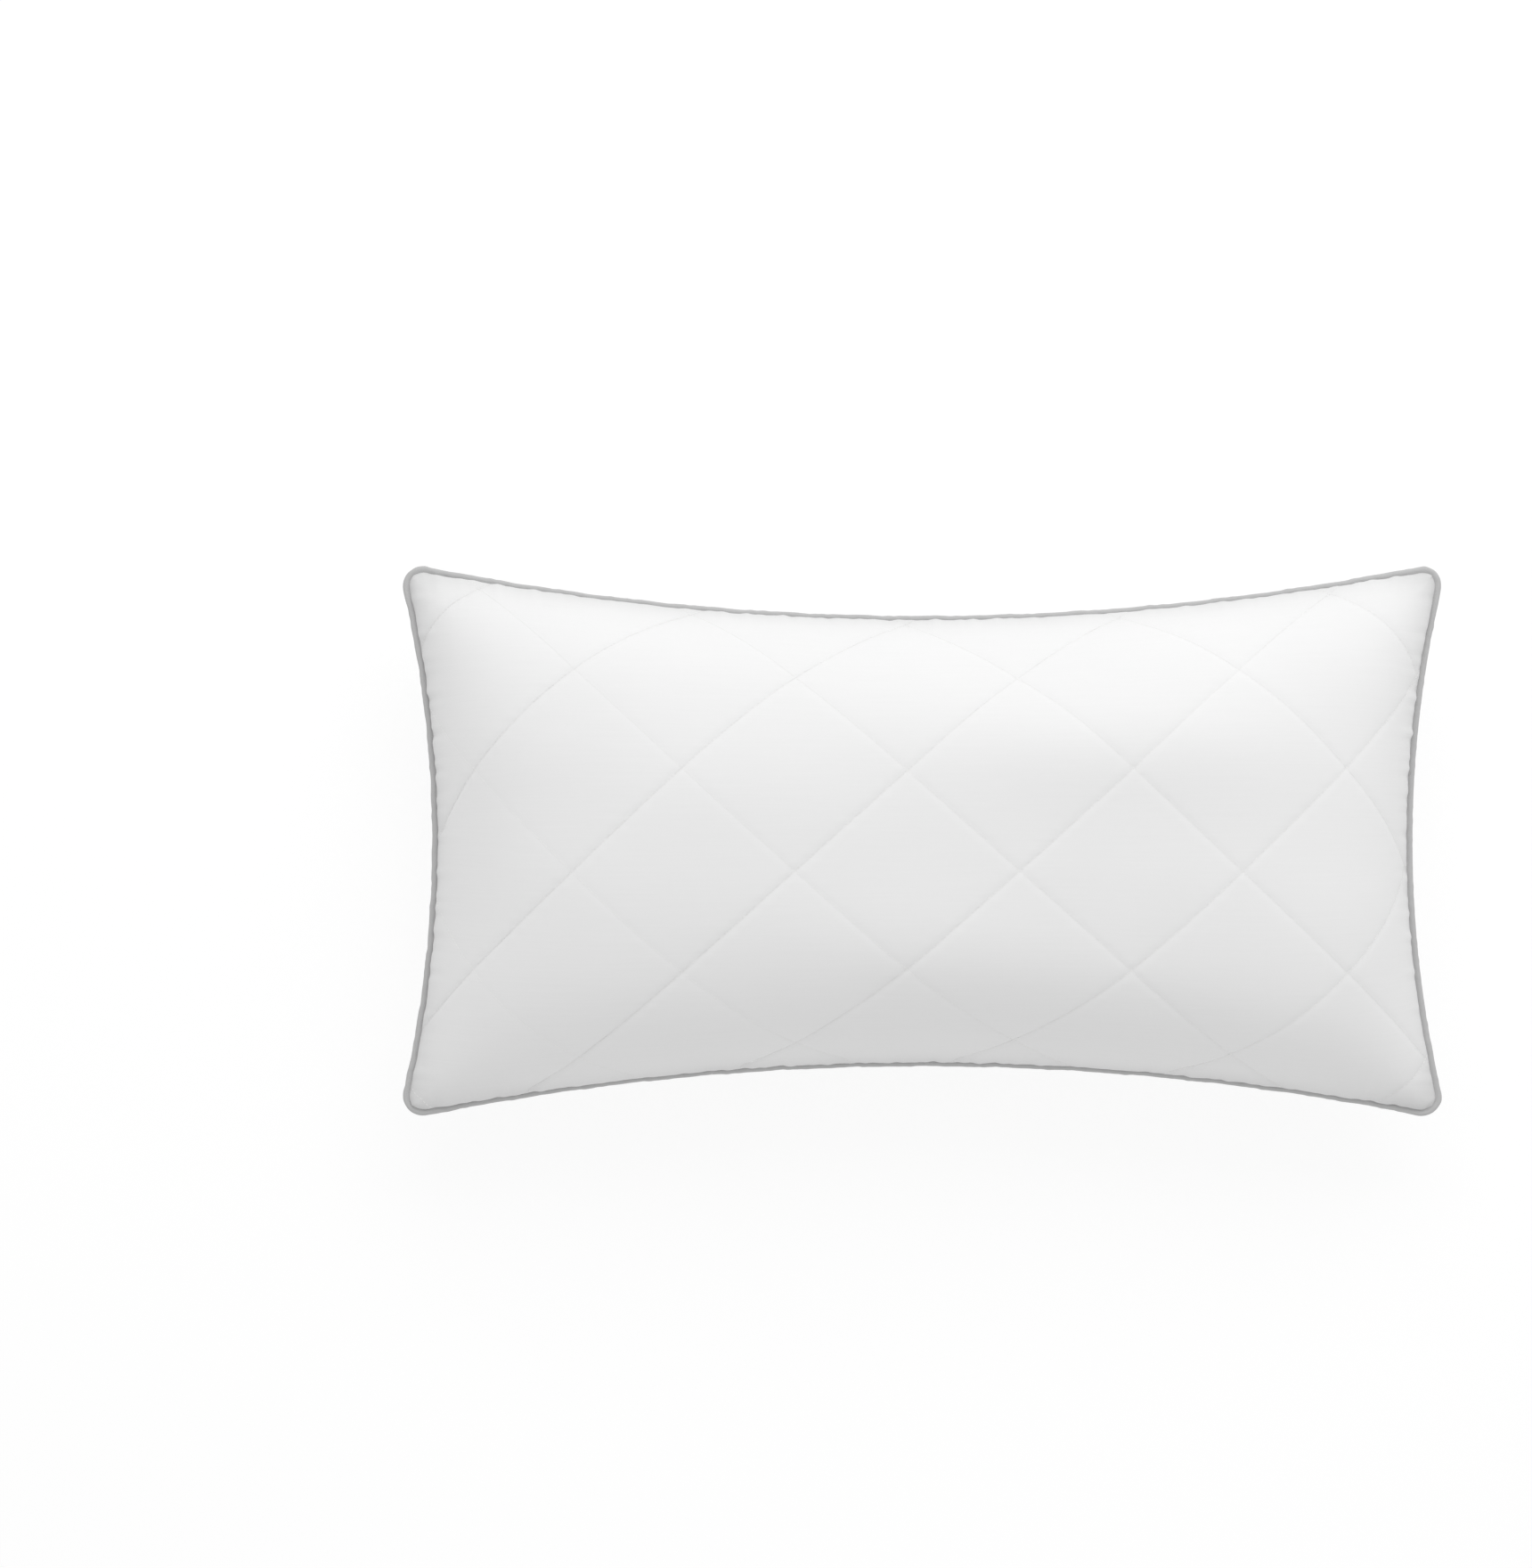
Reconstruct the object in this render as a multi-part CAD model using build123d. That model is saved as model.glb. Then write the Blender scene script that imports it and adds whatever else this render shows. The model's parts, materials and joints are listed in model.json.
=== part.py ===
"""Quilted king-size bed pillow with a piped cover, a hidden side zip and an inner pillow.

Frame: +X along the long side, +Y along the short side, +Z up through the front face. The origin is
under the centre of the flat patch on which the pillow rests. Units are millimetres.
"""
from build123d import *

import math
import os

os.makedirs("parts", exist_ok=True)

# ---- overall shape, stuffed -------------------------------------------------
SIDE_MID_X = 419.0  # outer edge of the piping, middle of a short side
SIDE_MID_Y = 192.5  # outer edge of the piping, middle of a long side
CORNER_X = 443.0  # furthest point of a corner along X
CORNER_Y = 235.5  # furthest point of a corner along Y
CORNER_REACH_Y = 212.0  # height at which a short side reaches CORNER_X
CORNER_REACH_X = 429.0  # distance along X at which a long side reaches CORNER_Y
CORNER_RADIUS = 17.0
CORNER_STEPS = 40  # rounds in which the two sides are brought to one corner
SEAM_Z = 92.0  # seam plane above the floor
FRONT_CROWN = 112.0  # front face above the seam plane
BACK_CROWN = 96.0  # back face below the seam plane before it flattens on the floor

# ---- profile of the stuffed faces ------------------------------------------
PROFILE_X = 5.0  # exponent across the long direction
PROFILE_Y = 3.0  # exponent across the short direction
PROFILE_FULLNESS = 0.7
GRID_X = 37  # surface points along X
GRID_Y = 25  # surface points along Y
EDGE_DIP = 1.0  # how far each face surface runs past the seam plane before it is cut
GRID_TOLERANCE = 0.05
CLEAR_OVER = 5.0  # headroom of the block that cuts out the front face

# ---- layers, as depths below the outer surface ------------------------------
FABRIC = (0.0, 0.6)
WADDING = (0.8, 4.8)
LINING = (5.0, 5.4)
TICKING = (6.2, 6.8)
FILL_DEPTH = 7.0
INNER_INSET = 8.0  # extra step in from the seam for the inner pillow

# ---- piping and seam --------------------------------------------------------
PIPING_DIA = 5.0
SLEEVE_WALL = 0.6
CORD_DIA = 3.6
PANEL_INSET = PIPING_DIA + 0.15
SEAM_GAP = 0.45  # half of the gap between the panels, filled by the piping flange
FLANGE_WIDTH = 6.5
FLANGE_HALF = 0.3
OVERLOCK_WIDTH = 1.2
OVERLOCK_HALF = 0.9

# ---- quilting ---------------------------------------------------------------
QUILT_PITCH_X = 190.0  # width of one diamond as it lies on the stuffed face
QUILT_PITCH_Y = 173.0
QUILT_ORIGIN = (83.0, -24.0)  # one crossing of the lines
QUILT_LINES = 4  # lines drawn on either side of the crossing, in each direction
QUILT_REACH = 4 * CORNER_X  # length of each line before it is cut to the outline
THREAD_WIDTH = 0.9
THREAD_RISE = (-0.45, -0.1)  # proud of the fabric, as depths
THREAD_CLEAR = 0.3  # height below which no thread stands proud of the back
QUILT_MARGIN = 4.0

# ---- care label -------------------------------------------------------------
LABEL_RISE = (-0.45, -0.1)  # proud of the fabric, as depths
LABEL_Y = (-45.0, -5.0)
LABEL_Z = (38.0, 86.0)

# ---- zip, drawn as depth in from the outer edge and height above the seam plane ----
ZIP_HALF_LENGTH = 156.0
ZIP_MID = -7.2  # height of the joint between the coils
ZIP_TOP = -0.6
TAPE_DEPTH = 7.1  # middle of the tape
TAPE_THICK = 0.6
TAPE_BEND = -11.6
TAPE_FOOT = (12.3, -15.7)
COIL_HEIGHT = 2.0
COIL_HALF_DEPTH = 1.5
COIL_SPLIT = 0.65  # half of the gap between the coils, where the slider's web runs
COIL_END = 152.6
TOUCH = 0.1  # gap between pieces that are sewn or crimped together
NOTCH_BOTTOM = -16.0
NOTCH_TOP = -0.35
NOTCH_DEPTH = (-8.0, 26.0)
NOTCH_END = 0.4
STOP_SPAN = (153.0, 155.6)
STOP_HALF_DEPTH = 1.7
SLIDER_AT = 148.0  # distance of the slider from the middle of the zip, closed
SLIDER_LENGTH = 9.0
SLIDER_CLEAR = 0.35
SLIDER_WALL = 1.1
WEB_HALF = 0.35
PIN_DEPTH = 1.9
PIN_DIA = 1.3
LUG_LENGTH = 3.6
LUG_TIP = 0.6
LUG_WALL = 1.1
PULL_EYE_DIA = 3.6
PULL_EYE_BORE = 2.0
PULL_EYE_HEIGHT = 3.6
PULL_START = 3.6  # distance from the pin at which the pull widens
PULL_LENGTH = 22.0
PULL_HEIGHT = 6.0
PULL_THICK = 1.2
PULL_SLOT = (8.0, 2.6)


def side_radius(mid, reach, corner):
    """Radius of a concave side from its middle to its furthest point."""
    rise = corner - mid
    return (reach**2 + rise**2) / (2 * rise)


SHORT_RADIUS = side_radius(SIDE_MID_X, CORNER_REACH_Y, CORNER_X)
LONG_RADIUS = side_radius(SIDE_MID_Y, CORNER_REACH_X, CORNER_Y)
ZIP_CENTRE_X = SIDE_MID_X + SHORT_RADIUS


def side_x(y):
    """Outer edge of a short side at height y."""
    return ZIP_CENTRE_X - math.sqrt(SHORT_RADIUS**2 - y**2)


def side_y(x):
    """Outer edge of a long side at distance x."""
    return SIDE_MID_Y + LONG_RADIUS - math.sqrt(LONG_RADIUS**2 - x**2)


def sharp_corner():
    """Point where the two concave sides would meet without rounding."""
    x, y = CORNER_X, CORNER_Y
    for _ in range(CORNER_STEPS):
        x, y = side_x(y), side_y(x)
    return x, y


def outline(inset):
    """Rounded outline of the pillow, stepped in from the outer edge."""
    x, y = sharp_corner()
    sides = [
        ThreePointArc((-x, y), (0, SIDE_MID_Y), (x, y)),
        ThreePointArc((x, y), (SIDE_MID_X, 0), (x, -y)),
        ThreePointArc((x, -y), (0, -SIDE_MID_Y), (-x, -y)),
        ThreePointArc((-x, -y), (-SIDE_MID_X, 0), (-x, y)),
    ]
    face = make_face(Curve() + sides)
    face = fillet(face.vertices(), CORNER_RADIUS)
    return offset(face, amount=-inset, kind=Kind.INTERSECTION) if inset else face


def prism(inset, low, high):
    """Upright block with the pillow's outline between two heights."""
    return extrude(Pos(0, 0, low) * outline(inset), amount=high - low)


def shares(count):
    """Places from -1 to 1, closer together towards both ends."""
    return [math.sin(math.pi / 2 * (2 * k / (count - 1) - 1)) for k in range(count)]


def crown_point(u, v, inset, height, up):
    """Point of a domed face at shares u and v of the way to its edges."""
    corner_x, corner_y = sharp_corner()
    x = u * (side_x(v * corner_y) - inset)
    y = v * (side_y(u * corner_x) - inset)
    swell = ((1 - abs(u) ** PROFILE_X) * (1 - abs(v) ** PROFILE_Y)) ** PROFILE_FULLNESS
    return x, y, SEAM_Z + up * (height * swell - EDGE_DIP)


def crown_face(inset, depth, crown, up):
    """Domed surface of one face at a depth below the outer surface."""
    height = crown - depth + EDGE_DIP
    rows = [[crown_point(u, v, inset, height, up) for u in shares(GRID_X)] for v in shares(GRID_Y)]
    return Face.make_surface_from_array_of_points(rows, tol=GRID_TOLERANCE, min_deg=3, max_deg=5)


def half_volume(depth, front, extra=0.0, gap=SEAM_GAP):
    """Everything inside one face at a depth, from the seam plane outwards."""
    inset = PANEL_INSET + extra + depth
    reach = 2 * (FRONT_CROWN + SEAM_Z)
    if front:
        skin = crown_face(inset, depth, FRONT_CROWN, 1)
        body = Solid.extrude(skin, Vector(0, 0, -reach))
        return body & prism(inset, SEAM_Z + gap, SEAM_Z + FRONT_CROWN + CLEAR_OVER)
    skin = crown_face(inset, depth, BACK_CROWN, -1)
    body = Solid.extrude(skin, Vector(0, 0, reach))
    return body & prism(inset, depth, SEAM_Z - gap)


def layer(depths, front, extra=0.0):
    """One layer of a panel, between two depths."""
    outer = half_volume(depths[0], front, extra)
    inner = half_volume(depths[1], front, extra, gap=0.0)
    return outer - inner


def save(node, shape):
    """Write one piece as its own solid."""
    solids = shape.solids()
    piece = solids[0] if len(solids) == 1 else Compound(solids)
    piece.label = node
    export_step(piece, f"parts/{node}.step")


def revolved(profile, start, end):
    """Sweep a depth-height profile along the short side between two distances from its middle."""
    points = [(-(SHORT_RADIUS + depth), 0, z) for depth, z in profile]
    face = make_face(Polyline(*points, close=True))
    low, high = (math.degrees(s / SHORT_RADIUS) for s in (start, end))
    swept = revolve(face, axis=Axis.Z, revolution_arc=high - low)
    return Pos(ZIP_CENTRE_X, 0, SEAM_Z) * Rot(0, 0, -high) * swept


def band(depths, heights, start, end):
    """Rectangular bar along the short side."""
    (d0, d1), (z0, z1) = depths, heights
    return revolved([(d0, z0), (d1, z0), (d1, z1), (d0, z1)], start, end)


def at_slider():
    """Placement of the pull's pin: X out of the pillow, Y towards the closed end."""
    turn = math.degrees(SLIDER_AT / SHORT_RADIUS)
    centre = Pos(ZIP_CENTRE_X, 0, SEAM_Z) * Rot(0, 0, -turn)
    return centre * Pos(-(SHORT_RADIUS + PIN_DEPTH), 0, ZIP_MID)


def zip_notch():
    """Room in the back panel for the zip."""
    end = ZIP_HALF_LENGTH + NOTCH_END
    return band(NOTCH_DEPTH, (NOTCH_BOTTOM, NOTCH_TOP), -end, end)


def quilt_lines():
    """Narrow upright walls along both directions of the quilting."""
    slope = math.degrees(math.atan2(QUILT_PITCH_Y, QUILT_PITCH_X))
    bars = Sketch()
    for turn in (slope, -slope):
        for k in range(-QUILT_LINES, QUILT_LINES + 1):
            x, y = QUILT_ORIGIN[0], QUILT_ORIGIN[1] + k * QUILT_PITCH_Y
            bars += Pos(x, y) * Rot(0, 0, turn) * Rectangle(QUILT_REACH, THREAD_WIDTH)
    return bars


def quilting_thread(front):
    """Net of stitch lines lying on one face, clear of the patch that meets the floor."""
    low = SEAM_Z if front else THREAD_CLEAR
    high = SEAM_Z + FRONT_CROWN + QUILT_MARGIN if front else SEAM_Z
    walls = extrude(Pos(0, 0, low) * quilt_lines(), amount=high - low)
    walls &= prism(PANEL_INSET + QUILT_MARGIN, low, high)
    return layer(THREAD_RISE, front) & walls


def piping_path():
    """Centre line of the piping."""
    return (Pos(0, 0, SEAM_Z) * outline(PIPING_DIA / 2)).face().outer_wire()


def tube(diameter):
    """Round bar along the piping's centre line."""
    path = piping_path()
    section = Plane(origin=path @ 0, z_dir=path % 0) * Circle(diameter / 2)
    return sweep(section, path=path)


def ring(inner, outer, half):
    """Flat ring that follows the outline at the seam plane."""
    low, high = SEAM_Z - half, SEAM_Z + half
    return prism(outer, low, high) - prism(inner, low - half, high + half)


def piping_sleeve():
    """Fabric tube around the cord, with the flange that is sewn between the panels."""
    hollow = tube(PIPING_DIA) - tube(PIPING_DIA - 2 * SLEEVE_WALL)
    start = PIPING_DIA - SLEEVE_WALL / 2
    return hollow + ring(PIPING_DIA + FLANGE_WIDTH, start, FLANGE_HALF)


def overlock(inset):
    """Thread wrapped around the cut edges of a seam."""
    return ring(inset + OVERLOCK_WIDTH, inset, OVERLOCK_HALF)


def care_label():
    """Blank tab sewn into the seam on the left, lying against the back."""
    skin = layer(LABEL_RISE, False)
    (y0, y1), (z0, z1) = LABEL_Y, LABEL_Z
    window = Pos(-SIDE_MID_X, (y0 + y1) / 2, (z0 + z1) / 2)
    return skin & window * Box(SIDE_MID_X, y1 - y0, z1 - z0)


def zip_tape_front():
    """Tape sewn to the piping's flange."""
    edge = ZIP_MID + COIL_SPLIT + COIL_HEIGHT + TOUCH
    depths = (TAPE_DEPTH - TAPE_THICK / 2, TAPE_DEPTH + TAPE_THICK / 2)
    return band(depths, (edge, ZIP_TOP), -ZIP_HALF_LENGTH, ZIP_HALF_LENGTH)


def zip_tape_back():
    """Tape that turns in to meet the back panel."""
    edge = ZIP_MID - COIL_SPLIT - COIL_HEIGHT - TOUCH
    near, far = TAPE_DEPTH - TAPE_THICK / 2, TAPE_DEPTH + TAPE_THICK / 2
    foot, low = TAPE_FOOT
    points = [(near, edge), (near, TAPE_BEND), (foot - TAPE_THICK, low)]
    points += [(foot, low), (far, TAPE_BEND), (far, edge)]
    return revolved(points, -ZIP_HALF_LENGTH, ZIP_HALF_LENGTH)


def coil_heights(front):
    """Lower and upper edge of one coil."""
    if front:
        return ZIP_MID + COIL_SPLIT, ZIP_MID + COIL_SPLIT + COIL_HEIGHT
    return ZIP_MID - COIL_SPLIT - COIL_HEIGHT, ZIP_MID - COIL_SPLIT


def zip_coil(front):
    """Nylon coil along the edge of one tape."""
    depths = (TAPE_DEPTH - COIL_HALF_DEPTH, TAPE_DEPTH + COIL_HALF_DEPTH)
    return band(depths, coil_heights(front), -COIL_END, COIL_END)


def zip_stop(low, high, start, end):
    """Metal stop crimped beyond the end of the coils."""
    depths = (TAPE_DEPTH - STOP_HALF_DEPTH, TAPE_DEPTH + STOP_HALF_DEPTH)
    return band(depths, (low, high), start, end)


def slider_body():
    """Two plates joined by a web between the coils, with lugs and a pin for the pull."""
    start, end = SLIDER_AT - SLIDER_LENGTH / 2, SLIDER_AT + SLIDER_LENGTH / 2
    inside = COIL_HALF_DEPTH + SLIDER_CLEAR
    slot = TAPE_THICK / 2 + SLIDER_CLEAR
    top = coil_heights(True)[1] + SLIDER_CLEAR
    bottom = coil_heights(False)[0] - SLIDER_CLEAR
    across = (TAPE_DEPTH - inside, TAPE_DEPTH + inside)
    body = band(across, (ZIP_MID - WEB_HALF, ZIP_MID + WEB_HALF), start, end)
    for side in (-1, 1):
        outside = TAPE_DEPTH + side * (inside + SLIDER_WALL)
        plate = sorted((TAPE_DEPTH + side * inside, outside))
        lip = sorted((TAPE_DEPTH + side * slot, outside))
        body += band(plate, (bottom - SLIDER_WALL, top + SLIDER_WALL), start, end)
        body += band(lip, (top, top + SLIDER_WALL), start, end)
        body += band(lip, (bottom - SLIDER_WALL, bottom), start, end)
    return body + slider_lugs(TAPE_DEPTH - inside - SLIDER_WALL / 2)


def slider_lugs(root):
    """Two lugs on the outer plate with the pin across them."""
    gap = PULL_EYE_HEIGHT / 2 + SLIDER_CLEAR
    tip, base = PIN_DEPTH - LUG_TIP, PIN_DEPTH - root
    lugs = Cylinder(PIN_DIA / 2, 2 * (gap + LUG_WALL))
    for side in (-1, 1):
        z = side * (gap + LUG_WALL / 2)
        lugs += Pos((tip + base) / 2, 0, z) * Box(tip - base, LUG_LENGTH, LUG_WALL)
    return at_slider() * lugs


def zip_pull():
    """Flat pull with an eye around the slider's pin, lying towards the open end."""
    eye = Cylinder(PULL_EYE_DIA / 2, PULL_EYE_HEIGHT)
    neck = Pos(0, -PULL_START / 2, 0) * Box(PULL_THICK, PULL_START, PULL_EYE_HEIGHT)
    length = PULL_LENGTH - PULL_START
    blade = Pos(0, -PULL_START - length / 2, 0) * Box(PULL_THICK, length, PULL_HEIGHT)
    blade = fillet(blade.edges().filter_by(Axis.X), PULL_HEIGHT / 4)
    slot = Box(2 * PULL_THICK, PULL_SLOT[0], PULL_SLOT[1])
    slot = Pos(0, PULL_SLOT[0] / 2 + PULL_SLOT[1] - PULL_LENGTH, 0) * slot
    pull = eye + neck + blade - slot - Cylinder(PULL_EYE_BORE / 2, 2 * PULL_EYE_HEIGHT)
    return at_slider() * pull


def fibre_fill():
    """Block of loose fibre inside the inner pillow."""
    front = half_volume(FILL_DEPTH, True, INNER_INSET, gap=0.0)
    return front + half_volume(FILL_DEPTH, False, INNER_INSET, gap=0.0)


def build():
    """Write every piece."""
    notch = zip_notch()
    for name, depths in (("fabric", FABRIC), ("wadding", WADDING), ("lining", LINING)):
        save(f"front_panel_{name}", layer(depths, True))
        save(f"back_panel_{name}", layer(depths, False) - notch)
    save("front_quilting_thread", quilting_thread(True))
    save("back_quilting_thread", quilting_thread(False) - notch)
    save("piping_sleeve", piping_sleeve())
    save("piping_cord", tube(CORD_DIA))
    save("cover_seam_overlock", overlock(PIPING_DIA + FLANGE_WIDTH + TOUCH))
    save("care_label", care_label())
    save("zip_tape_front", zip_tape_front())
    save("zip_tape_back", zip_tape_back())
    save("zip_coil_front", zip_coil(True))
    save("zip_coil_back", zip_coil(False))
    save("zip_top_stop_front", zip_stop(*coil_heights(True), *STOP_SPAN))
    save("zip_top_stop_back", zip_stop(*coil_heights(False), *STOP_SPAN))
    low, high = coil_heights(False)[0], coil_heights(True)[1]
    save("zip_bottom_stop", zip_stop(low, high, -STOP_SPAN[1], -STOP_SPAN[0]))
    save("zip_slider_body", slider_body())
    save("zip_pull", zip_pull())
    save("inner_shell_front", layer(TICKING, True, INNER_INSET))
    save("inner_shell_back", layer(TICKING, False, INNER_INSET))
    seam = PANEL_INSET + INNER_INSET + TICKING[0] - OVERLOCK_WIDTH - TOUCH
    save("inner_seam_overlock", overlock(seam))
    save("fibre_fill", fibre_fill())


build()
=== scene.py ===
"""A quilted king-size bed pillow: piped cover, side zip and fibre inner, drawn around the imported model.

Lengths are in metres. +X runs along the long side, +Y along the short side and +Z through the front.
"""
from __future__ import annotations

import json
import logging
import math
from dataclasses import dataclass, field
from enum import Enum

import bmesh
import bpy
import numpy as np
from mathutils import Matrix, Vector

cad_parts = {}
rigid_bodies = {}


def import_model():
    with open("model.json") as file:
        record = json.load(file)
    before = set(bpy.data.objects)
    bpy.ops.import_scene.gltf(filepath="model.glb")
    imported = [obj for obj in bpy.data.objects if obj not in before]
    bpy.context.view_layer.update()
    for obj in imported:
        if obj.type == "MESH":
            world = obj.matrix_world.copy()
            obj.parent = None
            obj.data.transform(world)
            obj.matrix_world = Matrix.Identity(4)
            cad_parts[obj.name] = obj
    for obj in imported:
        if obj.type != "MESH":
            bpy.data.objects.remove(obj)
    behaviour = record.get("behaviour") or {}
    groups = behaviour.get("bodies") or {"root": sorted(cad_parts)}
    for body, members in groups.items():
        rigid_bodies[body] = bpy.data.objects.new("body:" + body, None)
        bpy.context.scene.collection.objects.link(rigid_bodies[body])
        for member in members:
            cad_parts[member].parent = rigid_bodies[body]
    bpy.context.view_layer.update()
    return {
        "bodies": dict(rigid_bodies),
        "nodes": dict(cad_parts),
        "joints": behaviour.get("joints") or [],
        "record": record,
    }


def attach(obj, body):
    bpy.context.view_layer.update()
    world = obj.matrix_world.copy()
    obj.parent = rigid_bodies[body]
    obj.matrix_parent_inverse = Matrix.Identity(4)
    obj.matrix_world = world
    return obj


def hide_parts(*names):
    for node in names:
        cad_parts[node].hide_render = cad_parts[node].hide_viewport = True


LOG = logging.getLogger("pillow")
MM = 0.001
CUT_X = 914.0 * MM
CUT_Y = 508.0 * MM
CORNER_STEPS = 60
LINES_EACH_WAY = 9
LINE_REACH = 1.2
DRAPE_STEPS = 3

Array = np.ndarray
Colour = tuple[float, float, float, float]
Faces = list[tuple[int, ...]]


class Face(Enum):
    """The two quilted faces of the cover."""

    FRONT = 1
    BACK = -1


class Weave(Enum):
    """How the threads of a cloth cross, as (pitch across, pitch along) in metres."""

    SATEEN = (0.00035, 0.00030)
    BIAS = (0.00060, 0.00060)
    TWILL = (0.00090, 0.00070)


# ---------------------------------------------------------------------------------------------
# Shape of the stuffed pillow
# ---------------------------------------------------------------------------------------------


@dataclass
class Outline:
    """Seam outline of the stuffed pillow, with concave sides and rounded corners.

    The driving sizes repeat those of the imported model.
    """

    side_mid_x: float = 419.0 * MM
    side_mid_y: float = 192.5 * MM
    corner_x: float = 443.0 * MM
    corner_y: float = 235.5 * MM
    reach_x: float = 429.0 * MM
    reach_y: float = 212.0 * MM
    corner_radius: float = 17.0 * MM
    seam_z: float = 92.0 * MM
    panel_inset: float = 5.15 * MM
    piping_dia: float = 5.0 * MM
    zip_half: float = 156.0 * MM
    zip_margin: float = 30.0 * MM
    zip_fade: float = 25.0 * MM
    zip_from_x: float = 380.0 * MM
    zip_fade_x: float = 20.0 * MM
    wander_size: float = 0.45 * MM

    def __post_init__(self) -> None:
        """Work out the radius of each concave side and the sharp corner."""
        rise_x = self.corner_x - self.side_mid_x
        rise_y = self.corner_y - self.side_mid_y
        self.short_radius = (self.reach_y**2 + rise_x**2) / (2 * rise_x)
        self.long_radius = (self.reach_x**2 + rise_y**2) / (2 * rise_y)
        self.far = (self.side_mid_x + self.short_radius, self.side_mid_y + self.long_radius)
        x, y = self.corner_x, self.corner_y
        for _ in range(CORNER_STEPS):
            x, y = float(self.side_x(y)), float(self.side_y(x))
        self.sharp = (x, y)

    def side_x(self, y: Array | float) -> Array:
        """Outer edge of a short side at height y."""
        return self.far[0] - np.sqrt(self.short_radius**2 - np.square(y))

    def side_y(self, x: Array | float) -> Array:
        """Outer edge of a long side at distance x."""
        return self.far[1] - np.sqrt(self.long_radius**2 - np.square(x))

    def zip_mask(self, x: Array, y: Array) -> Array:
        """One beside the zip and nought elsewhere, easing over the last few centimetres."""
        along = ease((self.zip_half + self.zip_margin - np.abs(y)) / self.zip_fade)
        return along * np.clip((x - self.zip_from_x) / self.zip_fade_x, 0, 1)

    def wander(self, x: Array, y: Array) -> Array:
        """Small wandering of the seam, as sums of waves, which dies out beside the zip.

        Args:
            x: Distances along the long side.
            y: Distances along the short side.

        Returns:
            Offsets in X, Y and Z, stacked on the last axis.
        """
        a, b = x * 62.0, y * 71.0
        dx = 0.5 * np.sin(1.9 * b + 0.6) + 0.35 * np.sin(3.7 * b + a * 0.3 + 2.1)
        dy = 0.5 * np.sin(1.6 * a + 1.1) + 0.35 * np.sin(3.3 * a + b * 0.4 + 0.2)
        dz = 0.7 * np.sin(1.3 * (a + b) + 0.9) + 0.4 * np.sin(2.9 * (a - b) + 2.6)
        keep = 1 - self.zip_mask(x, y)
        return np.stack([dx, dy, 0.6 * dz], axis=-1) * self.wander_size * keep[..., None]

    def loop(self, inset: float, step: float) -> Array:
        """Points round the rounded outline at an inset, evenly spaced and closed.

        Args:
            inset: Distance in from the outer edge.
            step: Wanted distance between points.

        Returns:
            Points in X and Y, running anticlockwise from the middle of the right side.
        """
        (far_x, far_y), (cx, cy) = self.far, self.corner_centre()
        low, high = math.atan2(cy, far_x - cx), math.atan2(cx, far_y - cy)
        short, long = self.short_radius + inset, self.long_radius + inset
        radius = self.corner_radius - inset
        side = [(far_x - short * math.cos(a), short * math.sin(a)) for a in np.linspace(0, low, 160)]
        turn = np.linspace(-low, math.pi / 2 + high, 40)[1:-1]
        corner = [(cx + radius * math.cos(a), cy + radius * math.sin(a)) for a in turn]
        top = [(long * math.sin(a), far_y - long * math.cos(a)) for a in np.linspace(high, 0, 300)]
        quarter = np.array(side + corner + top)
        half = np.vstack([quarter, quarter[::-1][1:] * [-1, 1]])
        return resample(np.vstack([half, half[::-1][1:-1] * [1, -1]]), step)

    def corner_centre(self) -> tuple[float, float]:
        """Centre of the rounding at the top right corner."""
        (far_x, far_y), (x, y) = self.far, self.sharp
        for _ in range(CORNER_STEPS):
            x = far_x - math.sqrt((self.short_radius + self.corner_radius) ** 2 - y**2)
            y = far_y - math.sqrt((self.long_radius + self.corner_radius) ** 2 - x**2)
        return x, y


def ease(share: Array | float) -> Array:
    """Smooth step from nought to one, flat at both ends."""
    share = np.clip(share, 0, 1)
    return share * share * (3 - 2 * share)


def resample(points: Array, step: float) -> Array:
    """Space points evenly round a closed line.

    Args:
        points: Points of the line, without the first repeated.
        step: Wanted distance between points.

    Returns:
        Evenly spaced points, without the first repeated.
    """
    ring = np.vstack([points, points[:1]])
    lengths = np.concatenate([[0], np.cumsum(np.linalg.norm(np.diff(ring, axis=0), axis=1))])
    count = int(round(lengths[-1] / step))
    wanted = np.linspace(0, lengths[-1], count, endpoint=False)
    return np.stack([np.interp(wanted, lengths, ring[:, k]) for k in range(ring.shape[1])], axis=1)


def look_up(table: Array, row: Array, column: Array) -> Array:
    """Read a table between its entries, with both coordinates from -1 to 1."""
    rows, columns = table.shape
    r = np.clip((row + 1) / 2 * (rows - 1), 0, rows - 1.001)
    c = np.clip((column + 1) / 2 * (columns - 1), 0, columns - 1.001)
    r0, c0 = r.astype(int), c.astype(int)
    fr, fc = r - r0, c - c0
    low = table[r0, c0] * (1 - fc) + table[r0, c0 + 1] * fc
    high = table[r0 + 1, c0] * (1 - fc) + table[r0 + 1, c0 + 1] * fc
    return low * (1 - fr) + high * fr


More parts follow.
